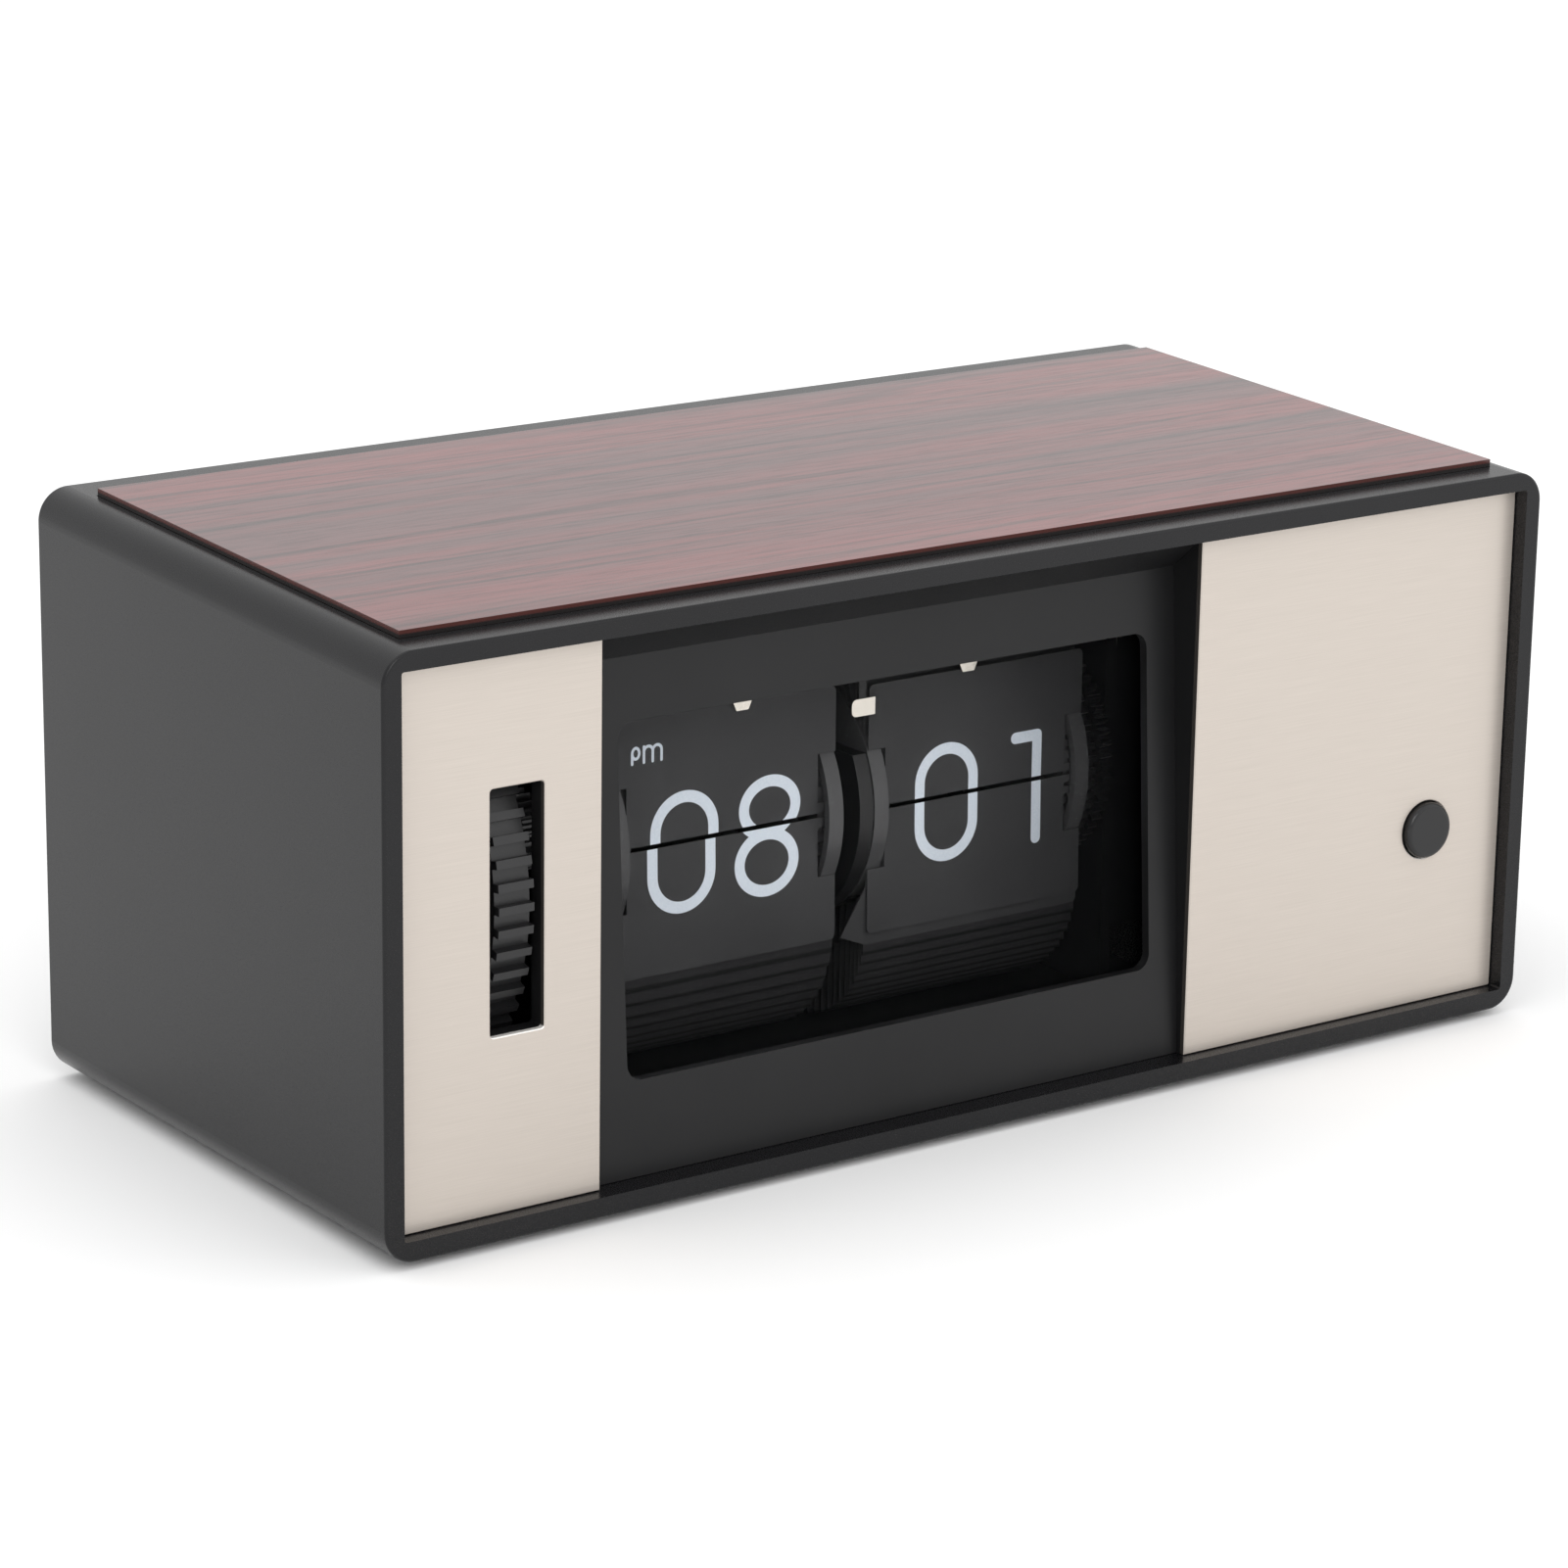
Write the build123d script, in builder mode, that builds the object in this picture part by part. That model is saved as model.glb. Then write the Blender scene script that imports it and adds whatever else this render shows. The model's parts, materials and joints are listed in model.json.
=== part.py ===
from build123d import *
import os
from math import asin, atan2, cos, degrees, pi, radians, sin, sqrt, tan

os.makedirs("parts", exist_ok=True)

# Frame: X to the right, Y to the back, Z up, origin at the middle of the surface the feet stand on.
# All lengths in millimetres, all angles in degrees.

# Overrun of every cut past the face it leaves through
overrun = 1.0

# Case shell
case_width = 214.7
case_depth = 100.5
case_front_height = 89.5
case_back_height = 92.8
case_corner_radius = 5.0
case_edge_radius = 0.5
case_mouth_radius = 0.4
side_wall = 3.1
floor_wall = 3.2
roof_wall = 2.9
boss_size = 5.4
boss_length = 10.0

# Rubber feet
foot_radius = 6.0
foot_proud = 1.2
foot_recess = 0.8
foot_gap = 0.1
foot_inset_x = 19.35
foot_inset_y = 14.25

# Wood-look board on the roof
board_side_margin = 6.15
board_back_margin = 7.6
board_proud = 1.2
board_recess = 0.6
board_gap = 0.1
board_front_margin = 5.7
board_edge_radius = 0.4

# Metal plates of the front
plate_recess = 2.5
plate_thickness = 1.0
plate_gap = 0.1
plate_bevel = 0.15
left_plate_width = 34.7
right_plate_width = 64.6

# Front fascia, its leaning bezel and window
fascia_thickness = 2.5
bezel_recess_low = 1.7
bezel_recess_high = 7.1
bezel_thickness = 1.6
bezel_side_wall = 1.4
visor_drop = 5.8
visor_setback = 0.3
window_height = 53.35
window_left_margin = 6.4
window_right_margin = 5.4
window_sill = 14.65
window_radius = 2.5
lens_thickness = 0.8
lens_lap = 3.0

# Thumbwheel slot and thumbwheel
slot_width = 9.1
slot_height = 36.8
slot_left_margin = 15.85
slot_sill = 26.8
slot_radius = 0.6
wheel_teeth = 62
wheel_setback = 0.2
wheel_width = 5.9
wheel_tooth_depth = 1.3
wheel_tooth_width = 1.25
wheel_rim = 4.0
wheel_web = 2.0
wheel_hub_radius = 3.6
wheel_window_radius = 6.0
wheel_window_circle = 17.5
wheel_windows = 6
wheel_axle_radius = 2.0
bracket_gap = 4.2

# Push button and its switch
button_radius = 4.6
button_proud = 1.2
button_gap = 0.2
button_travel = 0.8
button_from_right = 15.9
button_height = 29.15
button_flange_radius = 6.0
button_flange = 1.0
button_stem = 3.0
button_face_radius = 0.8
switch_board_width = 28.0
switch_board_height = 26.0
switch_board_thickness = 1.6
switch_board_setback = 8.0
switch_board_rise = 5.0
switch_post_radius = 2.2
switch_post_spacing = 22.0
switch_leaf_width = 4.0
switch_leaf_thickness = 0.3
switch_leaf_rise = 15.0
switch_leaf_drop = 4.0
switch_leaf_gap = 0.05
switch_contact_radius = 1.2

# Card drums
shaft_setback = 47.2
shaft_z = 44.4
shaft_radius = 1.5
fit_gap = 0.02
running_gap = 0.05
pivot_radius = 18.0
disc_radius = 20.15
disc_thickness = 2.7
hour_drum_inset = 14.85
minute_drum_overhang = 1.75
drum_spacing = 11.3
groove_depth = 1.0
groove_half_width = 1.0
disc_hole_radius = 3.6
disc_hole_circle = 10.5
disc_holes = 6
minute_hub_radius = 4.0
hour_hub_radius = 4.5
minute_card_count = 60
hour_card_count = 48
minute_phase_angle = 3.8
hour_phase_angle = 6.6

# Cards
card_thickness = 0.14
card_reach = 19.0
card_overhang = 2.55
card_shoulder = 8.6
card_side_gap = 0.7
card_pin_length = 0.6
card_split = 0.7
card_corner_radius = 0.9
top_flap_lean_angle = 0.5
lower_flap_lean_angle = 1.4
wing_width = 4.6
wing_start = 9.6
wing_low = 17.0

# Movement frame
base_thickness = 1.6
base_margin = 1.0
base_box_gap = 1.6
base_setback = 24.0
base_depth = 52.0
frame_plate = 2.0
left_plate_gap = 1.05
right_plate_gap = 1.2
centre_plate_gap = 0.3
centre_plate_thickness = 2.5
centre_plate_top = 9.4
centre_plate_back = 9.0
boss_round = 7.0
bar_round = 5.0
bar_setback = 38.0
bar_z = 75.2
bar_depth = 8.0
bar_thickness = 2.4
foot_plate_setback = 32.0
foot_plate_depth = 36.0

# Retaining springs and carry lever
spring_thickness = 0.3
spring_width = 3.6
spring_tip_width = 2.2
spring_tip_z = 64.25
spring_tip_taper = 1.6
minute_spring_shift = -2.15
hour_spring_shift = 3.1
spring_gap = 0.2
lever_thickness = 0.5
lever_tip_thickness = 0.3
lever_tip_overhang = 1.65
lever_tip_width = 4.4
lever_tip_low = 60.5
lever_tip_high = 63.25
lever_stem_width = 1.4
lever_setback = 27.45
lever_eye_radius = 1.5
lever_eye_z = 71.2
lever_pin_radius = 0.7

# Gears
fine_module = 0.5
drive_module = 0.6
pressure_angle = 20.0
addendum_share = 0.8
dedendum_share = 1.1
tooth_fill_share = 0.84
setting_teeth = 24
shaft_pinion_teeth = 14
transfer_wheel_teeth = 56
transfer_pinion_teeth = 10
hour_wheel_teeth = 60
drive_wheel_teeth = 60
motor_pinion_teeth = 10
clutch_teeth = 60
clutch_tip_radius = 19.2
clutch_tooth_depth = 0.9
clutch_inner_radius = 15.0
clutch_width = 2.3
gear_width = 2.0
setting_gear_width = 3.6
setting_gear_clearance = 1.7
transfer_angle = -35.0
transfer_axle_radius = 1.25
motor_angle = 45.0
drive_wheel_gap = 1.95
drive_hub_radius = 5.0
hour_wheel_gap = 0.8
gear_side_gap = 1.0

# Motor
motor_radius = 17.0
motor_length = 11.0
motor_rim = 1.2
motor_shaft_radius = 1.0
motor_bore_depth = 4.0

# Rear cover, battery box and battery
cover_recess = 0.5
cover_thickness = 2.5
cover_gap = 0.1
screw_radius = 1.2
screw_length = 8.0
screw_head_radius = 2.2
screw_head_height = 1.4
screw_inset = 2.7
recess_length = 2.6
recess_width = 0.6
recess_depth = 0.8
vent_length = 26.0
vent_width = 1.8
vent_pitch = 5.0
vents = 9
box_side_gap = 6.25
box_wall = 1.4
box_depth = 36.4
cell_radius = 17.1
cell_length = 60.0
cell_edge_radius = 1.2
nub_radius = 4.75
nub_height = 1.5
cell_gap = 0.2
contact_thickness = 0.5
contact_width = 12.0
contact_bow = 1.0
door_thickness = 2.0
door_gap = 0.3
door_lap = 2.0
door_grip_width = 14.0
door_grip_height = 3.0
door_grip_depth = 0.8
door_grips = 3
door_grip_pitch = 5.0

# Places worked out from the sizes above
case_front = -case_depth / 2
case_back = case_depth / 2
case_floor = foot_proud
case_roof = case_floor + case_front_height
roof_rise = case_back_height - case_front_height
inner_left = -case_width / 2 + side_wall
inner_right = case_width / 2 - side_wall
inner_floor = case_floor + floor_wall
inner_roof = case_roof - roof_wall
inner_width = inner_right - inner_left
inner_height = inner_roof - inner_floor
inner_middle = (inner_roof + inner_floor) / 2
foot_spacing_x = case_width - 2 * foot_inset_x
foot_spacing_y = case_depth - 2 * foot_inset_y
board_width = case_width - 2 * board_side_margin
board_depth = case_depth - board_front_margin - board_back_margin
plate_face = case_front + plate_recess
fascia_front = plate_face + plate_thickness
fascia_back = fascia_front + fascia_thickness
bay_left = inner_left + left_plate_width
bay_right = inner_right - right_plate_width
window_left = bay_left + window_left_margin
window_right = bay_right - window_right_margin
window_width = window_right - window_left
window_low = inner_floor + window_sill
window_middle = (window_left + window_width / 2, window_low + window_height / 2)
slot_middle = (inner_left + slot_left_margin + slot_width / 2, inner_floor + slot_sill + slot_height / 2)
button_middle = (inner_right - button_from_right, inner_floor + button_height)
base_top = inner_floor + base_thickness
cover_front = case_back - cover_recess - cover_thickness
rear_roof = inner_roof + roof_rise * (cover_front - case_front) / case_depth
rear_height = rear_roof - inner_floor
rear_middle = (rear_roof + inner_floor) / 2
shaft_y = case_front + shaft_setback
base_front = case_front + base_setback
base_back = base_front + base_depth
bar_y = case_front + bar_setback
foot_plate_front = case_front + foot_plate_setback
foot_plate_back = foot_plate_front + foot_plate_depth
lever_face_y = case_front + lever_setback
box_front = cover_front - box_depth
box_left = inner_right - box_side_gap - 2 * (box_wall + cell_gap + cell_radius)
hour_left_inner = window_left + hour_drum_inset
minute_right_inner = window_right + minute_drum_overhang
drum_inner_width = (minute_right_inner - hour_left_inner - drum_spacing) / 2
hour_right_inner = hour_left_inner + drum_inner_width
minute_left_inner = minute_right_inner - drum_inner_width
hour_middle_x = hour_left_inner + drum_inner_width / 2
minute_middle_x = minute_right_inner - drum_inner_width / 2
hour_left_face = hour_left_inner - disc_thickness
hour_right_face = hour_right_inner + disc_thickness
minute_left_face = minute_left_inner - disc_thickness
minute_right_face = minute_right_inner + disc_thickness
card_width = drum_inner_width + 2 * card_overhang
hour_wheel_x = hour_left_face - hour_wheel_gap - gear_width
transfer_wheel_x = hour_wheel_x - gear_side_gap - gear_width
left_plate_inner = transfer_wheel_x - left_plate_gap
left_plate_x = left_plate_inner - frame_plate
centre_plate_x = minute_left_face - centre_plate_gap - centre_plate_thickness
drive_wheel_x = minute_right_face + clutch_width + drive_wheel_gap
right_plate_x = drive_wheel_x + gear_width + right_plate_gap
wheel_left = slot_middle[0] - wheel_width / 2
bracket_x = wheel_left - bracket_gap - frame_plate
base_left = bracket_x - base_margin
base_right = box_left - base_box_gap
setting_distance = fine_module * setting_teeth
wheel_axis_z = slot_middle[1]
wheel_axis_y = shaft_y - sqrt(setting_distance**2 - (wheel_axis_z - shaft_z) ** 2)
wheel_radius = wheel_axis_y - plate_face - wheel_setback
transfer_distance = fine_module * (shaft_pinion_teeth + transfer_wheel_teeth) / 2
transfer_y = shaft_y + transfer_distance * cos(radians(transfer_angle))
transfer_z = shaft_z + transfer_distance * sin(radians(transfer_angle))
motor_distance = drive_module * (drive_wheel_teeth + motor_pinion_teeth) / 2
motor_y = shaft_y + motor_distance * cos(radians(motor_angle))
motor_z = shaft_z + motor_distance * sin(radians(motor_angle))


def yz(x):
    """Sketch plane across the clock: first axis +Y, second axis +Z, normal +X."""
    return Plane.YZ.offset(x)


def xz(y):
    """Sketch plane facing the front: first axis +X, second axis +Z, normal -Y."""
    return Plane.XZ.offset(-y)


def save(piece, name):
    piece.part.label = name
    export_step(piece.part, f"parts/{name}.step")


# Case shell: a rounded tube whose roof rises towards the back, with screw bosses in its rear corners
roof_plane = Plane(origin=(0, case_front, case_roof), x_dir=(1, 0, 0), z_dir=(0, -roof_rise, case_depth))
board_middle = (0, board_front_margin + board_depth / 2)


def wedge(left, right, floor, roof, radius):
    """Block as deep as the case, level below and rising above, with its long edges rounded."""
    with BuildPart() as block:
        with BuildSketch(yz(left)):
            Polygon(
                (case_front, floor),
                (case_back, floor),
                (case_back, roof + roof_rise),
                (case_front, roof),
                align=None,
            )
        extrude(amount=right - left)
        fillet(block.edges().filter_by(Axis.X, reverse=True).filter_by(Axis.Z, reverse=True), radius)
    return block


case_block = wedge(-case_width / 2, case_width / 2, case_floor, case_roof, case_corner_radius)
case_hollow = wedge(inner_left, inner_right, inner_floor, inner_roof, case_mouth_radius)

with BuildPart() as case_shell:
    add(case_block.part)
    rims = case_shell.edges().group_by(Axis.Y)
    fillet(rims[0] + rims[-1], case_edge_radius)
    add(case_hollow.part, mode=Mode.SUBTRACT)
    with BuildSketch(xz(cover_front - boss_length)):
        with Locations((0, rear_middle)):
            with GridLocations(inner_width - boss_size, rear_height - boss_size, 2, 2):
                Rectangle(boss_size, boss_size)
    extrude(amount=-boss_length)
    with BuildSketch(xz(cover_front)):
        with Locations((0, rear_middle)):
            with GridLocations(inner_width - 2 * screw_inset, rear_height - 2 * screw_inset, 2, 2):
                Circle(screw_radius + fit_gap)
    extrude(amount=screw_length, mode=Mode.SUBTRACT)
    with BuildSketch(roof_plane.offset(-board_recess)):
        with Locations(board_middle):
            Rectangle(board_width + 2 * board_gap, board_depth + 2 * board_gap)
    extrude(amount=board_recess + overrun, mode=Mode.SUBTRACT)
    with BuildSketch(Plane.XY.offset(case_floor)):
        with GridLocations(foot_spacing_x, foot_spacing_y, 2, 2):
            Circle(foot_radius + foot_gap)
    extrude(amount=foot_recess, mode=Mode.SUBTRACT)
save(case_shell, "case_shell")

# Rubber feet
with BuildPart() as rubber_feet:
    with BuildSketch(Plane.XY):
        with GridLocations(foot_spacing_x, foot_spacing_y, 2, 2):
            Circle(foot_radius)
    extrude(amount=foot_proud + foot_recess)
    chamfer(rubber_feet.edges().group_by(Axis.Z)[0], foot_proud / 2)
save(rubber_feet, "rubber_feet")

# Wood-look board let into the roof
with BuildPart() as wood_top_board:
    with BuildSketch(roof_plane.offset(-board_recess)):
        with Locations(board_middle):
            Rectangle(board_width, board_depth)
    extrude(amount=board_recess + board_proud)
    top_face = wood_top_board.faces().sort_by(Axis.Z)[-1]
    fillet(top_face.edges(), board_edge_radius)
save(wood_top_board, "wood_top_board")

# Left metal plate, with the thumbwheel slot
with BuildPart() as left_metal_plate:
    with BuildSketch(xz(plate_face)) as face:
        with Locations((inner_left + left_plate_width / 2, inner_middle)):
            Rectangle(left_plate_width - 2 * plate_gap, inner_height - 2 * plate_gap)
        fillet(face.vertices().group_by(Axis.X)[0], case_mouth_radius)
        with Locations(slot_middle):
            RectangleRounded(slot_width, slot_height, slot_radius, mode=Mode.SUBTRACT)
    extrude(amount=-plate_thickness)
    chamfer(left_metal_plate.edges().group_by(Axis.Y)[0], plate_bevel)
save(left_metal_plate, "left_metal_plate")

# Right metal plate, with the hole for the push button
with BuildPart() as right_metal_plate:
    with BuildSketch(xz(plate_face)) as face:
        with Locations((inner_right - right_plate_width / 2, inner_middle)):
            Rectangle(right_plate_width - 2 * plate_gap, inner_height - 2 * plate_gap)
        fillet(face.vertices().group_by(Axis.X)[-1], case_mouth_radius)
        with Locations(button_middle):
            Circle(button_radius + button_gap, mode=Mode.SUBTRACT)
    extrude(amount=-plate_thickness)
    chamfer(right_metal_plate.edges().group_by(Axis.Y)[0], plate_bevel)
save(right_metal_plate, "right_metal_plate")

# Front fascia: a board behind the plates and, between them, a bezel that leans back towards its top
fascia_low = inner_floor + plate_gap
fascia_high = inner_roof - plate_gap
visor_z = inner_roof - visor_drop


def bezel_front(z):
    """Depth of the bezel's front face at a height."""
    rise = (z - inner_floor) / inner_height
    return plate_face + bezel_recess_low + (bezel_recess_high - bezel_recess_low) * rise


bezel_face = [
    (bezel_front(fascia_low), fascia_low),
    (bezel_front(visor_z), visor_z),
    (plate_face + visor_setback, fascia_high),
]
bezel_rear = [(y + bezel_thickness, z) for y, z in reversed(bezel_face)]
return_wall = [(fascia_front, fascia_low)] + bezel_rear[::-1] + [(fascia_front, fascia_high)]
switch_board_front = fascia_back + switch_board_setback
switch_board_middle = (button_middle[0], button_middle[1] + switch_board_rise)

with BuildPart() as front_fascia:
    with BuildSketch(xz(fascia_front)):
        with Locations((0, inner_middle)):
            RectangleRounded(inner_width - 2 * plate_gap, inner_height - 2 * plate_gap, case_mouth_radius)
        with Locations(((bay_left + bay_right) / 2, inner_middle)):
            Rectangle(bay_right - bay_left, inner_height, mode=Mode.SUBTRACT)
        with Locations(slot_middle):
            RectangleRounded(slot_width, slot_height, slot_radius, mode=Mode.SUBTRACT)
        with Locations(button_middle):
            Circle(button_radius + button_gap, mode=Mode.SUBTRACT)
    extrude(amount=-fascia_thickness)
    for wall_x in (bay_left - bezel_side_wall, bay_right):
        with BuildSketch(yz(wall_x)):
            Polygon(*return_wall, align=None)
        extrude(amount=bezel_side_wall)
    with BuildSketch(yz(bay_left)):
        Polygon(*bezel_face, *bezel_rear, align=None)
    extrude(amount=bay_right - bay_left)
    with BuildSketch(xz(plate_face)):
        with Locations(window_middle):
            RectangleRounded(window_width, window_height, window_radius)
    extrude(amount=-bezel_recess_high - bezel_thickness, mode=Mode.SUBTRACT)
    with BuildSketch(xz(fascia_back)):
        with Locations(switch_board_middle):
            with GridLocations(switch_post_spacing, 0, 2, 1):
                Circle(switch_post_radius)
    extrude(amount=-switch_board_setback)
save(front_fascia, "front_fascia")

# Clear window, glued behind the bezel
lens_low = window_low - lens_lap
lens_high = window_low + window_height + lens_lap
lens_face = [(bezel_front(z) + bezel_thickness, z) for z in (lens_low, lens_high)]
with BuildPart() as window_lens:
    with BuildSketch(yz(window_left - lens_lap)):
        Polygon(*lens_face, *[(y + lens_thickness, z) for y, z in reversed(lens_face)], align=None)
    extrude(amount=window_width + 2 * lens_lap)
save(window_lens, "window_lens")

# Push button: a cap that slides in the fascia, kept by a flange behind it
button_front = plate_face - button_proud
button_back = fascia_back + button_flange + button_stem
with BuildPart() as push_button:
    with BuildSketch(xz(button_front)):
        with Locations(button_middle):
            Circle(button_radius)
    extrude(amount=-(fascia_back - button_front))
    fillet(push_button.edges().group_by(Axis.Y)[0], button_face_radius)
    with BuildSketch(xz(fascia_back)):
        with Locations(button_middle):
            Circle(button_flange_radius)
    extrude(amount=-button_flange)
    with BuildSketch(xz(fascia_back + button_flange)):
        with Locations(button_middle):
            Circle(button_radius / 2)
    extrude(amount=-button_stem)
save(push_button, "push_button")

# Switch behind the button: a board on two posts, a spring leaf that returns the button, a fixed contact
with BuildPart() as switch_board:
    with BuildSketch(xz(switch_board_front)):
        with Locations(switch_board_middle):
            Rectangle(switch_board_width, switch_board_height)
    extrude(amount=-switch_board_thickness)
save(switch_board, "switch_board")

leaf_face = button_back + switch_leaf_gap
leaf_low = button_middle[1] - switch_leaf_drop
leaf_high = button_middle[1] + switch_leaf_rise
with BuildPart() as switch_leaf:
    with BuildSketch(yz(button_middle[0] - switch_leaf_width / 2)):
        Polygon(
            (leaf_face, leaf_low),
            (leaf_face + switch_leaf_thickness, leaf_low),
            (leaf_face + switch_leaf_thickness, leaf_high - switch_leaf_thickness),
            (switch_board_front, leaf_high - switch_leaf_thickness),
            (switch_board_front, leaf_high),
            (leaf_face, leaf_high),
            align=None,
        )
    extrude(amount=switch_leaf_width)
save(switch_leaf, "switch_leaf")

with BuildPart() as switch_contact:
    with BuildSketch(xz(switch_board_front)):
        with Locations(button_middle):
            Circle(switch_contact_radius)
    extrude(amount=switch_board_front - leaf_face - switch_leaf_thickness - button_travel)
save(switch_contact, "switch_contact")

# Movement base on the case floor
with BuildPart() as movement_base:
    with BuildSketch(Plane.XY.offset(inner_floor)):
        with Locations(((base_left + base_right) / 2, (base_front + base_back) / 2)):
            Rectangle(base_right - base_left, base_back - base_front)
    extrude(amount=base_thickness)
save(movement_base, "movement_base")


def frame_outline(rounds):
    """Outline of an upright plate: the hull of its foot on the base and the rounds at its bearings."""
    foot_height = frame_plate
    with Locations(((foot_plate_front + foot_plate_back) / 2, base_top + foot_height / 2)):
        Rectangle(foot_plate_back - foot_plate_front, foot_height)
    for y, z, radius in rounds:
        with Locations((y, z)):
            Circle(radius)
    make_hull()


# Left bearing plate: main shaft, transfer axle, thumbwheel axle and cross bar
with BuildPart() as left_bearing_plate:
    with BuildSketch(yz(left_plate_x)):
        frame_outline(
            [
                (wheel_axis_y, wheel_axis_z, boss_round),
                (transfer_y, transfer_z, boss_round),
                (bar_y, bar_z, bar_round),
            ]
        )
        with Locations((shaft_y, shaft_z)):
            Circle(shaft_radius + running_gap, mode=Mode.SUBTRACT)
        with Locations((transfer_y, transfer_z)):
            Circle(transfer_axle_radius + fit_gap, mode=Mode.SUBTRACT)
        with Locations((wheel_axis_y, wheel_axis_z)):
            Circle(wheel_axle_radius + fit_gap, mode=Mode.SUBTRACT)
        with Locations(((foot_plate_front + foot_plate_back) / 2, (base_top + shaft_z - boss_round) / 2)):
            Circle(boss_round, mode=Mode.SUBTRACT)
    extrude(amount=frame_plate)
save(left_bearing_plate, "left_bearing_plate")

# Right bearing plate: main shaft, motor shaft and cross bar
with BuildPart() as right_bearing_plate:
    with BuildSketch(yz(right_plate_x)):
        frame_outline([(motor_y, motor_z, boss_round), (bar_y, bar_z, bar_round)])
        with Locations((shaft_y, shaft_z)):
            Circle(shaft_radius + running_gap, mode=Mode.SUBTRACT)
        with Locations((motor_y, motor_z)):
            Circle(shaft_radius, mode=Mode.SUBTRACT)
        with Locations(((foot_plate_front + foot_plate_back) / 2, (base_top + shaft_z - boss_round) / 2)):
            Circle(boss_round, mode=Mode.SUBTRACT)
    extrude(amount=frame_plate)
save(right_bearing_plate, "right_bearing_plate")

# Centre bearing plate between the drums: front edge on the line of the discs, flat top, foot behind the shaft
with BuildPart() as centre_bearing_plate:
    with BuildSketch(yz(centre_plate_x)):
        with Locations((shaft_y, shaft_z)):
            Circle(disc_radius)
        with Locations((shaft_y, shaft_z + centre_plate_top)):
            Rectangle(2 * disc_radius, disc_radius, align=(Align.CENTER, Align.MIN), mode=Mode.SUBTRACT)
        with Locations((shaft_y + centre_plate_back, shaft_z)):
            Rectangle(disc_radius, 2 * disc_radius, align=(Align.MIN, Align.CENTER), mode=Mode.SUBTRACT)
        with Locations((shaft_y, base_top)):
            Rectangle(centre_plate_back, shaft_z - base_top, align=(Align.MIN, Align.MIN))
        with Locations((shaft_y, shaft_z)):
            Circle(shaft_radius + running_gap, mode=Mode.SUBTRACT)
    extrude(amount=centre_plate_thickness)
save(centre_bearing_plate, "centre_bearing_plate")

# Thumbwheel bracket at the outer end of the thumbwheel axle
with BuildPart() as thumbwheel_bracket:
    with BuildSketch(yz(bracket_x)):
        frame_outline([(wheel_axis_y, wheel_axis_z, boss_round)])
        with Locations((wheel_axis_y, wheel_axis_z)):
            Circle(wheel_axle_radius + fit_gap, mode=Mode.SUBTRACT)
    extrude(amount=frame_plate)
save(thumbwheel_bracket, "thumbwheel_bracket")

with BuildPart() as thumbwheel_axle:
    with BuildSketch(yz(bracket_x)):
        with Locations((wheel_axis_y, wheel_axis_z)):
            Circle(wheel_axle_radius)
    extrude(amount=left_plate_inner - bracket_x)
save(thumbwheel_axle, "thumbwheel_axle")

# Cross bar between the outer bearing plates
with BuildPart() as cross_bar:
    with BuildSketch(yz(left_plate_inner)):
        with Locations((bar_y, bar_z)):
            Rectangle(bar_depth, bar_thickness)
    extrude(amount=right_plate_x - left_plate_inner)
save(cross_bar, "cross_bar")


def gear_outline(teeth, module, aim, gap_at_aim=False):
    """Points of a spur gear about its own centre, with a tooth or a gap pointing at the aim angle."""
    pitch_radius = module * teeth / 2
    tip_radius = pitch_radius + addendum_share * module
    root_radius = pitch_radius - dedendum_share * module
    flank = tan(radians(pressure_angle))
    half_tooth = pi * module / 4 * tooth_fill_share
    tip_half = (half_tooth - addendum_share * module * flank) / tip_radius
    root_half = (half_tooth + dedendum_share * module * flank) / root_radius
    rising = [(root_radius, -root_half), (tip_radius, -tip_half)]
    corners = rising + [(tip_radius, tip_half), (root_radius, root_half)]
    start = radians(aim) + (pi / teeth if gap_at_aim else 0)
    points = []
    for tooth in range(teeth):
        middle = start + 2 * pi * tooth / teeth
        points += [(radius * cos(middle + turn), radius * sin(middle + turn)) for radius, turn in corners]
    return points


def toothed_ring(teeth, tip_radius, tooth_depth, tooth_width):
    """Points of a wheel with straight-sided teeth of one width."""
    root_radius = tip_radius - tooth_depth
    tip_half = asin(tooth_width / 2 / tip_radius)
    root_half = asin(tooth_width / 2 / root_radius)
    rising = [(root_radius, -root_half), (tip_radius, -tip_half)]
    corners = rising + [(tip_radius, tip_half), (root_radius, root_half)]
    points = []
    for tooth in range(teeth):
        middle = 2 * pi * tooth / teeth
        points += [(radius * cos(middle + turn), radius * sin(middle + turn)) for radius, turn in corners]
    return points


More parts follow.
